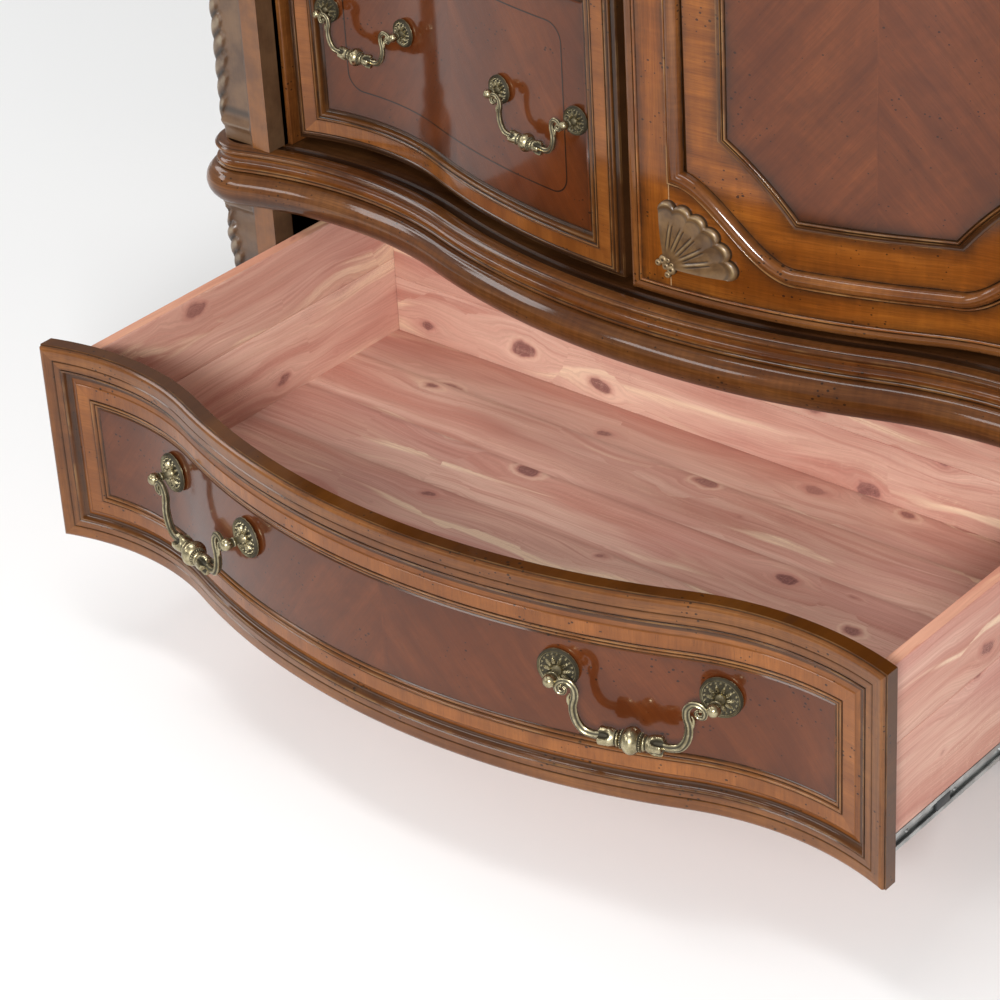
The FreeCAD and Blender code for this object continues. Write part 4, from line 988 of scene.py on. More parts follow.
def mouldings():
    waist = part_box("waist_moulding")[0][2]
    # The ledge row at 66 mm up is painted with shade for the dark gap under the fronts.
    moulding("waist_looks", "waist_moulding", waist,
             ((0, 0), (0, 25), (1.0, 28.5), (5.2, 34.8, 0.4), (20, 40.8, 1.6), (34.4, 34.8, 1.6),
              (39.6, 27.4, 0.9), (40.2, 24.6), (41.0, 26.8), (43.4, 27.2, 0.4), (44.2, 26.0),
              (46.2, 26.6, 0.4), (46.9, 24.4), (56.4, 21.6, -2.4), (57.0, 20.0), (57.8, 22.4),
              (60.6, 26.4, 0.7), (64.6, 26.0, 1.1), (67.6, 20.6, 0.9), (68, 12.5, 0.3), (66, 11.4),
              (66, 0)),
             ((0.5, DARK_TONE), (40, TORUS_TONE), (46.5, WALNUT_TONE), (57.2, ORANGE_TONE),
              (65.9, TORUS_TONE), (66, LEDGE_SHADE_TONE), (99, TORUS_TONE)))
    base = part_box("base_moulding")[0][2]
    moulding("base_moulding_looks", "base_moulding", base,
             ((0, 0), (0, 23), (1, 26), (16, 36.5, 6.5), (17, 34.6), (19, 34.6), (20, 32),
              (36, 22.5, -4.5), (36.4, 23.6), (37, 22), (37, 0)), ((99, WALNUT_TONE),))
    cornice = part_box("cornice_moulding")[0][2]
    moulding("cornice_looks", "cornice_moulding", cornice,
             ((0, 0), (0, 13), (1, 15), (11.5, 19, 3), (12.5, 17.6), (14, 20), (16, 23.4),
              (40, 40, -6.5), (42, 43), (44, 43.2), (45, 45.4), (48, 46.4), (49.6, 47.4),
              (68, 49.6, 6.6), (69.4, 48.4), (70, 47), (70, 0)),
             ((44, ORANGE_TONE), (99, WALNUT_TONE)))


def top_board():
    """The top: a field of veneer with an ogee edge."""
    low, high = box("top_board")
    edge_out = high[0] - CASE_HALF
    line = trace((0, 0), (0, 40), (1.2, 44), (8, 48.4, 1.6), (9, 50), (10.4, 51.5), (15.6, 51, 2),
                 (19, 48.6, 1), (19.8, 46), (20, 43))
    line[:, 1] *= edge_out / line[:, 1].max()
    glaze, wear = patina(line)
    points, run = round_case(line, low[2])
    grain = np.stack([run, points[..., 2], np.full(run.shape, 8.0)], -1)
    form = Form()
    form.sheet(points, grain, DARK_TONE, glaze[:, None], wear[:, None], flip=True)
    for ring, flip in ((points[-1], True), (points[1], False)):
        back = np.stack([ring[:, 0], np.full(len(ring), CASE_BACK), ring[:, 2]], -1)
        u = np.concatenate([[0, 0.02, 0.06], np.linspace(0.12, 1, 24)])[:, None, None]
        fan = ring[None] + (back - ring)[None] * u
        spread = np.stack([fan[..., 0], fan[..., 1], np.full(fan.shape[:2], 2.0)], -1)
        form.sheet(fan, spread, WALNUT_TONE if flip else DARK_TONE, flip=flip)
    form.sheet(np.stack([points[:, 0], points[:, -1]]), tone=DARK_TONE)
    form.piece("top_board_looks", "case", WALNUT_TOP, "walnut", ("top_board",))


# ------------------------------------------------------------------ carved corner posts

def corner_path(side, low, high, radius):
    """The outside of a pilaster in plan, from its inner front edge round to its back edge."""
    count = 44
    x_in, x_out = (low[0], high[0]) if side > 0 else (high[0], low[0])
    y_front, y_back = low[1], high[1]
    points, normals = [], []
    for x in np.linspace(x_in, x_out - side * radius, count, endpoint=False):
        points.append((x, y_front))
        normals.append((0, -1))
    for turn in np.linspace(0, math.pi / 2, 14):
        normal = (side * math.sin(turn), -math.cos(turn))
        points.append((x_out - side * radius + radius * normal[0],
                       y_front + radius + radius * normal[1]))
        normals.append(normal)
    for y in np.linspace(y_front + radius, y_back, count)[1:]:
        points.append((x_out, y))
        normals.append((side, 0))
    points, normals = np.array(points), np.array(normals, float)
    return points, normals, lengths(points)


def leaf(s, t, half, ribs, lean):
    """The relief of an acanthus leaf: s across from its stem, t up it; gives height and hollows."""
    wave = ribs * t - lean * np.abs(s) / half
    rib = np.abs(np.sin(math.pi * wave)) ** 0.6
    width = half * np.sin(np.clip(t, 0, 1) * math.pi) ** 0.45 * (0.80 + 0.20 * rib)
    inside = np.clip((width - np.abs(s)) / 0.004, 0, 1)
    stem = np.exp(-(s / 0.0035) ** 2)
    height = inside * (0.35 + 0.65 * rib + 0.35 * stem)
    return height, np.clip(1.1 - rib - 0.6 * stem, 0, 1) * inside + (1 - inside) * 0.35, inside


def carved_post(form, side, low, high, radius, flat, tall):
    """A pilaster: a plain inner face, then carving that wraps the corner."""
    points, normals, run = corner_path(side, low, high, radius)
    z = np.linspace(low[2], high[2], int((high[2] - low[2]) / 0.0028))
    s, height = np.meshgrid(run, z)
    t = (height - low[2]) / (high[2] - low[2])
    centre = (flat + run[-1]) / 2
    carve = np.clip((s - flat) / 0.004, 0, 1)
    deep = radius * 0.75
    waist = -deep * (0.75 * np.exp(-((t - 0.52) / 0.22) ** 2) + 0.35 * np.exp(-((t - 0.88) / 0.05) ** 2))
    relief = np.zeros(s.shape)
    hollow = np.zeros(s.shape)
    for foot, top, half, ribs in tall:
        inner = (t - foot) / (top - foot)
        live = (inner > 0) & (inner < 1)
        rise, dark, inside = leaf(s - centre, np.clip(inner, 0.001, 0.999), half, ribs, 1.4)
        relief = np.where(live & (inside > 0), np.maximum(relief, rise), relief)
        hollow = np.where(live & (inside > 0), dark, hollow)
    if len(tall) > 2:
        reeds = (t > tall[0][1]) & (t < tall[1][0])
        flute = np.abs(np.sin((s - flat) / 0.011 * math.pi)) ** 0.5
        relief = np.where(reeds, 0.75 * flute, relief)
        hollow = np.where(reeds, np.clip(1 - flute * 1.2, 0, 1), hollow)
    for level in (0.02, 0.955, 0.985):
        ring = np.exp(-((t - level) * (high[2] - low[2]) / 0.005) ** 2)
        relief = np.maximum(relief, ring * 0.9)
        hollow = np.maximum(hollow * (1 - ring), 0.7 * np.exp(-((t - level - 0.016) / 0.006) ** 2))
    out = carve * (waist + (relief - 1) * deep * 0.55)
    hollow = hollow * carve + 0.9 * np.exp(-((s - flat - 0.001) / 0.0016) ** 2)
    spots = points[None] + normals[None] * out[..., None]
    body = np.concatenate([spots, height[..., None]], -1)
    grain = np.stack([height, s, np.full(s.shape, 4.0 + side)], -1)
    # Light on the carving's high places: partly rubbing, partly a painted highlight.
    rub_and_highlight = np.clip((relief - 0.75) * 3, 0, 1) * carve
    form.sheet(body, grain, glaze=np.clip(hollow, 0, 1), wear=rub_and_highlight, figure=carve, flip=side < 0)
    inner = np.array((points[0][0], points[-1][1]))
    for edge, flip in ((body[0], side > 0), (body[-1], side < 0),
                       (body[:, 0], side > 0), (body[:, -1], side < 0)):
        fan = np.column_stack([np.full((len(edge), 2), inner), edge[:, 2]])
        form.sheet(np.stack([edge, fan]), glaze=0.3, flip=flip)


def pilasters():
    for name, radius, flat, tall in (
            ("lower_pilasters", 0.014, 0.030, ((0.03, 0.50, 0.040, 7), (0.46, 0.94, 0.034, 6))),
            ("upper_pilasters", 0.010, 0.026, ((0.01, 0.20, 0.034, 8), (0.80, 0.985, 0.034, 8),
                                               (0.46, 0.54, 0.030, 4)))):
        low, high = box(name)
        inner = box("corner_posts")[1][0] - POST_WIDE
        form = Form()
        for side in (-1, 1):
            a, b = (inner, high[0]) if side > 0 else (low[0], -inner)
            carved_post(form, side, np.array((a, low[1], low[2])), np.array((b, high[1], high[2])),
                        radius, flat, tall)
        form.piece(name + "_looks", "case", CARVED, "walnut", (name,), crease=60)


# ------------------------------------------------------------------ the sides and the base

def side_panels():
    """Each side of the case: a moulded frame round a recessed panel, with its inside face."""
    line = trace((0, 0), (44, 0), (45, -0.8), (47.5, 0.2, 1.2), (48.6, -1.6), (55, -4.6, -1.4),
                 (56, -5.2), (57, -4.4), (60, -4.2))
    inset, sink = line[-1]
    bands = ((45, ORANGE_TONE, False), (57, DARK_TONE, False), (99, WALNUT_TONE, False))
    half_moulding = 0.034
    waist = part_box("waist_moulding")[0][2] + half_moulding
    for name, side in (("side_panel_left", -1), ("side_panel_right", 1)):
        low, high = box(name)
        outer, inner = (high[0], low[0]) if side > 0 else (low[0], high[0])
        form = Form()

        def place(y, z, out):
            return np.stack([np.full(y.shape, outer) + side * out, y, z], -1)
        for z0, z1 in ((low[2], waist), (waist, high[2])):
            a, b = np.array((low[1], z0)), np.array((high[1], z1))
            part = framed(Form(), place, a, b, line, bands, (50, 40), seed=side)
            field(part, place, a + inset, b - inset, sink, WALNUT_TONE, (50, 40), seed=2.5 + side)
            form.join(part, flip=side < 0)
        y, z = np.meshgrid(np.linspace(low[1], high[1], 8), np.linspace(low[2], high[2], 20))
        form.sheet(np.stack([np.full(y.shape, inner), y, z], -1), tone=DARK_TONE, flip=side > 0,
                   grain=np.stack([z, y, np.full(y.shape, 3.0)], -1))
        rim = np.array(((low[1], low[2]), (high[1], low[2]), (high[1], high[2]), (low[1], high[2])))
        strip = np.stack([np.column_stack([np.full(4, x), rim]) for x in (outer, inner)])
        form.sheet(strip, tone=DARK_TONE, flip=side > 0, loop=True)
        form.piece(name + "_looks", "case", WALNUT, "walnut", (name,))


def apron_beads():
    """A carved bead that follows the arched lower edge of the base brackets."""
    spots, normals = case_plan()[:2]
    form, lift, thick = Form(), 0.004, 0.0035
    front = np.abs(spots[:, 0]) < CREST
    x = spots[front, 0]
    past = np.abs(x) - ARCH_HALF
    rise = ARCH_RADIUS * np.sqrt(np.clip(1 - (np.maximum(past, 0) / ARCH_RADIUS) ** 2, 0, 1))
    out = spots[front] + normals[front] * BEAD_OUT
    path = np.column_stack([out, rise + lift])[rise > 0.006]
    tube(form, path, thick, sides=10, side_axis=(0, 0, 1), tone=WALNUT_TONE)
    start, end = SIDE_ARCH
    y = np.linspace(start - 0.053, end + 0.053, 80)
    past = np.maximum(np.maximum(start - y, y - end), 0) / ARCH_RADIUS
    z = lift + ARCH_RADIUS * np.sqrt(np.clip(1 - past ** 2, 0.02, 1))
    for side in (-1, 1):
        path = np.stack([np.full(80, side * (CASE_HALF + BEAD_OUT)), y, z], -1)
        tube(form, path, thick, sides=10, side_axis=(side, 0, 0), tone=WALNUT_TONE)
    form.piece("apron_beads", "case", WALNUT, "walnut")


def drawer_stile():
    """The slim stile between the left corner post and the upper drawers."""
    edge = box("corner_posts")[0][0] + POST_WIDE
    low, high = box("upper_pilasters")
    form = Form()
    board_box(form, (edge + 0.0005, high[1] - 0.045, low[2]), (edge + 0.0072, high[1], high[2]), 2,
              13, 0.0015, WALNUT_TONE, 20)
    form.piece("drawer_stile", "case", WALNUT, "walnut")


# ------------------------------------------------------------------ the cedar drawer

def board_box(form, low, high, along, seed, round_by=0.002, tone=(1, 1, 1), cells=8,
              trim=None):
    """A board with softened edges; along is the axis its grain runs on."""
    low, high = np.array(low, float), np.array(high, float)
    size = high - low
    for axis in range(3):
        u_axis, v_axis = [k for k in range(3) if k != axis]
        for end in (0, 1):
            cut = []
            for k in (u_axis, v_axis):
                r = min(round_by, size[k] * 0.3)
                count = max(2, min(cells, int(size[k] / 0.02) + 2))
                cut.append(np.concatenate([[0, r * 0.3, r], np.linspace(r, size[k] - r, count)[1:-1],
                                           [size[k] - r, size[k] - r * 0.3, size[k]]]))
            u, v = np.meshgrid(cut[0], cut[1], indexing="ij")
            fade = np.minimum(np.minimum(u, size[u_axis] - u), np.minimum(v, size[v_axis] - v))
            sink = round_by * (1 - np.sqrt(np.clip(1 - (1 - np.clip(fade / round_by, 0, 1)) ** 2,
                                                   0, 1))) * 0.8
            points = np.zeros(u.shape + (3,))
            points[..., u_axis] = low[u_axis] + u
            points[..., v_axis] = low[v_axis] + v
            points[..., axis] = high[axis] - sink if end else low[axis] + sink
            if trim is not None:
                points = trim(points)
            others = [k for k in range(3) if k != along]
            across = points[..., others[0]] + points[..., others[1]]
            grain = np.stack([points[..., along], across, np.full(u.shape, float(seed))], -1)
            form.sheet(points, grain, tone, flip=(end == 1) == (axis == 1))
    return form


def glued_pair(low, high, joint, along, seed, **how):
    """Two boards edge to edge, with the joint that far above the lower edge."""
    form = Form()
    middle = low[2] + joint
    for index, (z0, z1) in enumerate(((low[2], middle), (middle, high[2]))):
        board_box(form, (low[0], low[1], z0), (high[0], high[1], z1), along, seed + index, 0.0016,
                  **how)
    return form


def cedar_box():
    """Bottom, sides and back of the wide drawer, glued up from narrow cedar boards."""
    behind = -0.0002 - BOARD

    def behind_front(points):
        limit = OPEN_DATUM + face_y(points[..., 0], behind)
        points[..., 1] = np.maximum(points[..., 1], limit)
        return points

    low, high = box("bottom_drawer_bottom")
    form = Form()
    edges = np.concatenate([[low[1]], np.arange(-0.43, high[1] - 0.03, 0.088), [high[1]]])
    for index, (a, b) in enumerate(zip(edges, edges[1:])):
        x, y = np.meshgrid(np.linspace(low[0], high[0], 120), np.linspace(a, b, 12))
        y = np.maximum(y, OPEN_DATUM + face_y(x, behind))
        seam = np.minimum(y - a, b - y)
        top = high[2] - 0.0006 * np.exp(-np.abs(seam) / 0.0006)
        grain = np.stack([x + index * 0.217, y, np.full(x.shape, 1.0 + index)], -1)
        for z, flip in ((top, False), (np.full(x.shape, low[2]), True)):
            form.sheet(np.stack([x, y, z], -1), grain, glaze=0.28 * np.exp(-np.abs(seam) / 0.0008),
                       flip=flip)
    form.piece("cedar_bottom_looks", "bottom_drawer", CEDAR, "cedar", ("bottom_drawer_bottom",))
    for tag, node in (("left", "bottom_drawer_side_left"), ("right", "bottom_drawer_side_right")):
        low, high = box(node)
        form = glued_pair(low, high, 0.098, 1, 25 if tag == "left" else 20, trim=behind_front,
                          cells=30)
        rim = low[0] + 0.001, high[0] - 0.001
        y = np.linspace(OPEN_DATUM + 0.04, high[1] - 0.001, 40)
        strip = np.stack([np.stack([np.full(40, x), y, np.full(40, high[2] + 0.0002)], -1)
                          for x in rim])
        form.sheet(strip, np.stack([strip[..., 1], strip[..., 0], np.full((2, 40), 33.0)], -1),
                   tone=(1.06, 0.95, 0.80), flip=True)
        form.piece("cedar_side_%s_looks" % tag, "bottom_drawer", CEDAR, "cedar", (node,))
    low, high = box("bottom_drawer_back")
    form = glued_pair(low, high, 0.075, 0, 40, cells=50)
    form.piece("cedar_back_looks", "bottom_drawer", CEDAR, "cedar", ("bottom_drawer_back",))
    dovetails()


def dovetails():
    """The tails that lock the drawer's sides to its back, seen on the outer faces."""
    form = Form()
    low, high = box("bottom_drawer_side_left")
    root, end, pitch, first = high[1] - 0.0145, high[1] - 0.0006, 0.0295, 0.016
    order = np.array(((0, 1), (3, 2)))
    for side in (-1, 1):
        x = side * (abs(low[0]) + 0.0002)
        for k in range(6):
            z = low[2] + first + k * pitch
            ring = np.array([(x, root, z - 0.006), (x, end, z - 0.0095),
                             (x, end, z + 0.0095), (x, root, z + 0.006)])
            grain = np.stack([ring[:, 2], ring[:, 1], np.full(4, 50.0 + k)], -1)
            form.sheet(ring[order], grain[order], tone=(0.72, 0.60, 0.55), flip=side < 0)
    form.piece("cedar_dovetails", "bottom_drawer", CEDAR, "cedar")


# ------------------------------------------------------------------ slides

def rail(form, side, x_in, x_out, y0, y1, z0, z1, lip):
    """A rolled channel: a web against one face, with lips curled towards the other."""
    wall = 0.0011
    mid = (z0 + z1) / 2
    half = (z1 - z0) / 2
    open_x = x_out - 0.0002
    loop = [(x_in, -half), (open_x, -half), (open_x, -half + lip), (open_x - wall, -half + lip),
            (open_x - wall, -half + wall), (x_in + wall, -half + wall), (x_in + wall, half - wall),
            (open_x - wall, half - wall), (open_x - wall, half - lip), (open_x, half - lip),
            (open_x, half), (x_in, half)]
    loop = np.array(loop)
    points = np.stack([np.stack([side * loop[:, 0], np.full(len(loop), y), mid + loop[:, 1]], -1)
                       for y in np.linspace(y0, y1, 30)])
    form.sheet(points, loop=True, flip=side > 0)
    for row in (0, -1):
        ring = points[row]
        form.sheet(np.stack([ring[:6], ring[:5:-1]]), flip=(row == 0) == (side < 0))


def slides():
    """The three nested steel members of each slide, with their balls and latches."""
    web, first, pitch = 0.0044, 0.040, 0.078
    ball = np.array([(0.0001, 0.0026), (0.0014, 0.0021), (0.0024, 0.0010), (0.0026, 0.0)])
    for name, body, lip in (("slide_drawer_members", "bottom_drawer", 0.0046),
                            ("slide_middle_members", "slide_middles", 0.0040),
                            ("slide_case_members", "case", 0.0034)):
        low, high = box(name)
        form = Form()
        inner = high[0] - web
        for side in (-1, 1):
            rail(form, side, inner, high[0], low[1], high[1], low[2], high[2], lip)
            for k in range(6):
                y = low[1] + first + k * pitch
                turned(form, (side * (inner + 0.0008), y, (low[2] + high[2]) / 2), (side, 0, 0),
                       ball, sides=14)
        form.piece(name + "_looks", body, STEEL, "steel", (name,), crease=30)
    low, high = box("slide_drawer_members")
    clips = Form()
    for side in (-1, 1):
        start = low[1] + 0.086
        near, far = sorted((side * (high[0] - 0.0030), side * (high[0] + 0.0001)))
        board_box(clips, (near, start, low[2] + 0.004), (far, start + 0.022, high[2] - 0.004), 1,
                  0, 0.0008, cells=4)
    clips.piece("slide_latches", "bottom_drawer", CLIP, "steel")


# ------------------------------------------------------------------ pulls

def rosette(form, centre, axis, radius):
    """A cast rosette: rim, ring of beads, petals and a domed boss."""
    reach = np.concatenate([[0.02, 0.08], np.linspace(0.14, 0.985, 46), [1.0, 1.0]])

    def relief(r, rise, turn):
        u = r / radius
        rim = 0.0024 * np.exp(-((u - 0.945) / 0.035) ** 2) + 0.0013 * np.exp(
            -((u - 0.865) / 0.022) ** 2)
        beads = 0.0026 * np.exp(-((u - 0.755) / 0.05) ** 2) * np.clip(
            np.cos(turn * 20) * 1.3 - 0.3, 0, 1) ** 0.6
        point = np.clip((0.70 - u) / 0.36, 0, 1)
        petal = np.clip((np.abs(np.cos(turn * 5)) - 1 + point * 0.62) * 5, 0, 1)
        petals = 0.0032 * petal * (u > 0.26) * np.clip((u - 0.26) / 0.06, 0, 1)
        crease = 0.0009 * np.exp(-(np.sin(turn * 5) / 0.10) ** 2) * (u > 0.3) * (u < 0.6)
        boss = 0.0012 * np.clip(1 - (u / 0.26) ** 2, 0, 1)
        high = rim + beads + petals + boss - crease
        up = 0.0020 + high
        dark = np.clip(1.15 - high / 0.0013, 0, 1) * (u < 0.97)
        return r, np.where(rise < 0, 0.0, up), dark
    line = np.stack([reach * radius, np.where(np.arange(len(reach)) == len(reach) - 1, -1.0, 1.0)],
                    -1)
    turned(form, centre, axis, line, sides=120, relief=relief)


def knuckle(form, foot, axis, reach, size):
    """A turned post from the rosette to the pivot, ending in a ball."""
    line = np.array([(5.2, 0), (5.4, 3), (4.2, 4.4), (3.4, 7), (3.4, 11), (4.6, 13), (5.0, 14.5),
                     (4.2, 15.8), (5.2, 17.2), (6.2, 19.5), (6.5, 22), (6.0, 24.6), (4.6, 26.8),
                     (2.4, 28.1), (0.05, 28.5)]) * MM * size
    line[:, 1] *= reach / (22 * MM * size)
    turned(form, foot, axis, line, sides=26)


def bail_arm(form, way, to_space, size):
    """One arm of a bail: a reeded S with a scroll at its pivot and a curled leaf."""
    knots = np.array(((29, -49), (38, -49.2), (46.5, -46.5), (52.5, -39), (55.5, -29),
                      (55.6, -20), (53.4, -11), (54.2, -2.5), (59.5, 3.0), (66.5, 2.6),
                      (71.2, -2.6), (69.8, -8.6), (64.8, -9.4), (62.6, -5.4), (65.0, -2.8)))
    path = smooth_path(knots, 7)
    share = np.linspace(0, 1, len(path))
    radii = np.interp(share, (0, 0.25, 0.45, 0.62, 0.8, 0.93, 1),
                      (4.3, 4.4, 3.9, 3.3, 2.9, 2.1, 1.2)) * MM * size
    spots = to_space(np.stack([way * path[:, 0], path[:, 1]], -1) * MM * size)
    tube(form, spots, radii, sides=20, lobes=5, depth=0.22, side_axis=to_space.out)
    leaf_knots = np.array(((55.6, -24), (59.4, -19.5), (60.2, -13.6), (58.4, -9.8)))
    sprig = smooth_path(leaf_knots, 6)
    spots = to_space(np.stack([way * sprig[:, 0], sprig[:, 1]], -1) * MM * size)
    tube(form, spots, np.linspace(2.6, 0.9, len(sprig)) * MM * size, sides=10,
         side_axis=to_space.out)


class Hanging:
    """Turns (across, up) on a pull's plane into space, about the middle of its pivots."""

    def __init__(self, middle, pins):
        self.middle, self.pins = np.asarray(middle, float), np.asarray(pins, float)
        self.out = np.cross(self.pins, (0, 0, 1))

    def __call__(self, spots):
        return self.middle + self.pins * spots[:, :1] + np.array((0, 0, 1.0)) * spots[:, 1:]


def bail_looks(name, body, middle, pins, size):
    """The swinging handle: two scrolled arms, leafy collars and a bulb."""
    to_space = Hanging(middle, pins)
    form = Form()
    for way in (-1, 1):
        bail_arm(form, way, to_space, size)
        pin = to_space(np.array(((way * 66, -2.5), (way * 80, 0))) * MM * size)
        tube(form, np.linspace(pin[0], pin[1], 4), 1.9 * MM, sides=10)

        def petals(radius, rise, turn):
            u = (rise / (MM * size) - 15.5) / 16.5
            wave = 0.5 + 0.5 * np.cos(turn * 4 + 0.5)
            body = np.clip(u * 3, 0, 1)
            notch = np.clip((u - 0.22 - 0.35 * wave) * 6, 0, 1) * np.clip((0.62 - wave) * 4, 0, 1)
            lip = np.clip((u - 0.15) * 3, 0, 1) * np.exp(-((wave - 0.56) / 0.10) ** 2)
            swell = 1 + body * (0.14 * wave - 0.05) + 0.08 * lip - 0.50 * notch
            return radius * swell, rise, np.clip(notch * 1.4 + 0.5 * body * (wave < 0.35), 0, 1)
        collar = trace((11.2, 5.4), (12.0, 7.8), (13.8, 7.4, 0.5), (14.8, 5.8), (16.2, 7.6, 0.5),
                       (22, 8.8, 0.5), (28.5, 9.4, 0.3), (31.0, 7.8, 0.6), (31.4, 4.0),
                       per_arc=12) * size
        turned(form, to_space(np.array(((0, -49.0),)) * MM * size)[0], to_space.pins * way,
               collar[:, ::-1], sides=80, relief=petals)
    bulb = trace((-11.4, 4.6), (-10.0, 8.2), (-8.8, 8.6, 0.5), (-8.0, 8.0), (-7.4, 9.4),
                 (7.4, 9.4, 4.0), (8.0, 8.0), (8.8, 8.6), (10.0, 8.2, 0.5), (11.4, 4.6),
                 per_arc=14) * size

    def beaded(radius, rise, turn):
        ring = np.abs(np.abs(rise) - 9.4 * MM * size) < 1.2 * MM * size
        return (radius * np.where(ring, 1 + 0.05 * np.cos(turn * 22), 1), rise,
                np.where(ring, 0.55 - 0.45 * np.cos(turn * 22), 0))
    turned(form, to_space(np.array(((0, -49.0),)) * MM * size)[0], to_space.pins, bulb[:, ::-1],
           sides=88, relief=beaded)
    form.piece(name + "_looks", body, BRASS, "brass", (name,), crease=40)


def pull_looks(drawer, body, datum, size, joints):
    """A drawer's rosettes and bails, each pull square to the chord of the face behind it."""
    reach, stand = 0.0785 * size, 0.022 * size
    mounts = Form()
    for word in ("left", "right"):
        bail_node = "%s_bail_%s" % (drawer, word)
        joint = joints[bail_node]
        pins = -np.array(joint["axis"], float)
        pivot = np.array(joint["pos_m"], float)
        for side in (-1, 1):
            ball = pivot + pins * side * reach
            out = np.cross(pins, (0, 0, 1))
            foot_x = ball[0] - out[0] * stand
            tilt = face_slope(foot_x)
            normal = np.array((math.sin(tilt), -math.cos(tilt), 0))
            foot = np.array((foot_x, datum + face_y(foot_x, -0.0018), pivot[2]))
            rosette(mounts, foot, normal, 0.021 * size)
            knuckle(mounts, foot + out * 0.001, out, stand, size)
        bail_looks(bail_node, body % word, pivot, pins, size)
    mounts.piece(drawer + "_mounts_looks", drawer, BRASS, "brass", (drawer + "_pull_mounts",),
                 crease=45)


def all_pulls():
    joints = {}
    for joint in frame["joints"]:
        for node in frame["record"]["behaviour"]["bodies"][joint["child"]]:
            joints[node] = joint
    pull_looks("bottom_drawer", "bottom_bail_%s", OPEN_DATUM, 1.0, joints)
    for level in (1, 2, 3):
        pull_looks("drawer_%d" % level, "drawer_%d_bail_%%s" % level, UPPER_DATUM, 0.72, joints)
    drop_pull(joints["door_pull_drop"])


def drop_pull(joint):
    """The door's rosette and its swinging drop."""
    pivot = np.array(joint["pos_m"], float)
    pins = -np.array(joint["axis"], float)
    out = np.cross(pins, (0, 0, 1))
    foot = pivot - out * 0.0165
    form = Form()
    rosette(form, foot, out, 0.019)
    for side in (-1, 1):
        knuckle(form, foot + pins * side * 0.011, out, 0.0165, 0.72)
    form.piece("door_mount_looks", "door", BRASS, "brass", ("door_pull_mount",), crease=45)
    drop = trace((-4, 1.0), (-3.4, 3.0), (0, 4.0, 0.6), (3.4, 3.0, 0.6), (5, 2.4), (9, 2.2),
                 (10, 3.6), (11.4, 3.6, 0.4), (12.4, 2.4), (17, 3.2), (20, 5.4), (27, 8.0, 1.4),
                 (33, 5.0, 1.2), (35, 3.4), (37.5, 3.6, 0.8), (39.6, 2.0, 0.4), (40, 0.1))
    form = Form()
    turned(form, pivot, (0, 0, -1), drop[:, ::-1], sides=44)
    tube(form, np.linspace(pivot - pins * 0.015, pivot + pins * 0.015, 4), 0.0019, sides=10)
    form.piece("door_drop_looks", "door_drop", BRASS, "brass", ("door_pull_drop",), crease=40)


# ------------------------------------------------------------------ CAD nodes that stay

def dress(material, *nodes):
    for node in nodes:
        item = frame["nodes"][node]
        item.data.materials.clear()
        item.data.materials.append(material)


def dress_frame():
    """Materials for the structural pieces whose own shape is right."""
    pine = (0.50, 0.31, 0.155), (0.36, 0.19, 0.085)
    lining = (0.36, 0.20, 0.10), (0.24, 0.115, 0.052)
    maple = (0.58, 0.39, 0.22), (0.44, 0.26, 0.13)
    dress(finished_wood("walnut_upright", "z", DARK_TONE), "corner_posts")
    dress(finished_wood("walnut_apron", "x", WALNUT_TONE), "base_front_bracket")
    dress(finished_wood("walnut_side_apron", "y", WALNUT_TONE), "base_side_brackets")
    dress(raw_wood("pine_blocks", "z", *pine), "foot_blocks")
    dress(raw_wood("pine_rails", "y", *pine), "drawer_rails_and_runners", "slide_bearers")
    dress(raw_wood("back_ply", "z", *pine, coarse=0.6), "back_panel")
    # The waist board shows only in the dark gap under the fronts, so it is painted with shade.
    dress(finished_wood("walnut_ledge_painted_shade", "x", STEP_SHADE_TONE), "waist_board")
    dress(raw_wood("lining_boards", "x", *lining, rough=0.45), "bottom_board", "shelves",
          "top_rails")
    dress(raw_wood("lining_upright", "z", *lining, rough=0.45), "centre_partition")
    sides = raw_wood("drawer_maple_deep", "y", *maple, rough=0.42)
    wide = raw_wood("drawer_maple_wide", "x", *maple, rough=0.42)
    for level in (1, 2, 3):
        dress(sides, "drawer_%d_sides" % level)
        dress(wide, "drawer_%d_back" % level, "drawer_%d_bottom" % level)
    dress(STEEL, "shelf_pins")
    dress(BRASS, "hinge_case_leaves", "hinge_door_leaves")


def back_screws():
    """Round-headed screws that hold the back panel."""
    low, high = box("back_panel")
    form = Form()
    head = np.array([(0.0045, 0), (0.0043, 0.0008), (0.0034, 0.0018), (0.0018, 0.0024),
                     (0.0012, 0.0022), (0.0006, 0.0010), (0.0001, 0.0010)])
    rows, from_end, from_side = 9, 0.03, 0.012
    for z in np.linspace(low[2] + from_end, high[2] - from_end, rows):
        for x in (low[0] + from_side, 0.0, high[0] - from_side):
            turned(form, (x, high[1], z), (0, 1, 0), head, sides=16)
    form.piece("back_screws", "case", STEEL, "steel")


# ------------------------------------------------------------------ stage, light and camera

def stage():
    mesh = bpy.data.meshes.new("floor")
    reach = 14.0
    mesh.from_pydata([(-reach, -reach, 0), (reach, -reach, 0), (reach, reach, 0),
                      (-reach, reach, 0)], [], [(0, 1, 2, 3)])
    floor = bpy.data.objects.new("floor", mesh)
    bpy.context.scene.collection.objects.link(floor)
    s = Shader("pale_floor")
    cloud = s.noise(s.add("TexCoord", output=3), 1.3, 2.0)
    mesh.materials.append(s.finish(s.mix(cloud, (0.86, 0.865, 0.865), (0.90, 0.90, 0.895)), 0.6,
                                   Specular_IOR_Level=0.2))


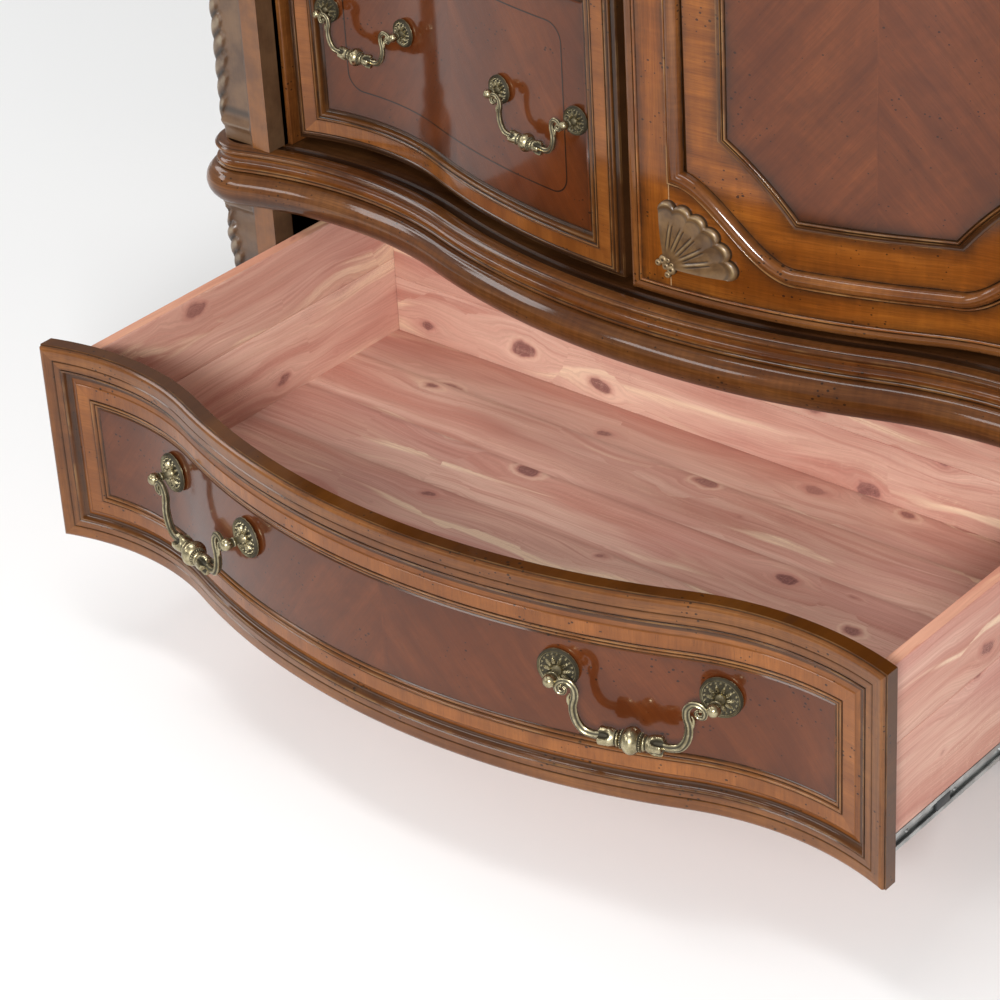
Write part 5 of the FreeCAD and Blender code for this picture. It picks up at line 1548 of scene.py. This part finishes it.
def area_light(name, place, target, size, power):
    data = bpy.data.lights.new(name, "AREA")
    data.shape, data.size, data.size_y = "RECTANGLE", *size
    data.energy = power
    lamp = bpy.data.objects.new(name, data)
    lamp.location = place
    lamp.rotation_euler = (Vector(target) - Vector(place)).to_track_quat("-Z", "Y").to_euler()
    bpy.context.scene.collection.objects.link(lamp)


def light():
    world = bpy.data.worlds.new("studio")
    bpy.context.scene.world = world
    world.use_nodes = True
    background = world.node_tree.nodes["Background"]
    background.inputs["Color"].default_value = (1.0, 1.0, 1.0, 1.0)
    background.inputs["Strength"].default_value = 0.34
    for name, place, target, size, power in (
            ("key", (2.6, -3.9, 2.4), (0.0, -0.2, 0.3), (1.0, 0.8), 240),
            ("overhead", (-0.2, -1.0, 3.3), (-0.1, -0.3, 0.4), (1.9, 0.6), 24),
            ("fill", (-1.8, -3.8, 2.6), (-0.1, -0.2, 0.3), (1.8, 0.9), 34),
            ("side", (-4.0, -1.9, 2.6), (0.0, -0.2, 0.4), (1.9, 0.7), 26),
            ("backdrop", (-4.6, 0.4, 3.0), (-3.0, 2.0, 0.0), (2.4, 2.0), 62)):
        area_light(name, place, target, size, power)
    bpy.context.scene.view_settings.view_transform = "Standard"
    bpy.context.scene.view_settings.look = "None"


def camera():
    place, lens, shift = (1.80453, -2.34245, 1.9325), 117.0865, -0.012
    yaw, pitch, roll = (math.radians(angle) for angle in (41.665, 30.730, -3.4976))
    ahead = Vector((-math.sin(yaw) * math.cos(pitch), math.cos(yaw) * math.cos(pitch),
                    -math.sin(pitch)))
    right = Vector((math.cos(yaw), math.sin(yaw), 0))
    above = right.cross(ahead)
    across = math.cos(roll) * right + math.sin(roll) * above
    up = math.cos(roll) * above - math.sin(roll) * right
    data = bpy.data.cameras.new("camera")
    data.sensor_width, data.lens, data.shift_y = 36, lens, shift
    eye = bpy.data.objects.new("camera", data)
    turn = Matrix((across, up, -ahead)).transposed().to_4x4()
    eye.matrix_world = Matrix.Translation(place) @ turn
    bpy.context.scene.collection.objects.link(eye)
    bpy.context.scene.camera = eye


camera()
stage()
light()
bottom_front()
cedar_box()
slides()
for drawer_level in (1, 2, 3):
    upper_front(drawer_level)
door_looks()
door_shells()
mouldings()
top_board()
pilasters()
side_panels()
drawer_stile()
apron_beads()
all_pulls()
dress_frame()
back_screws()
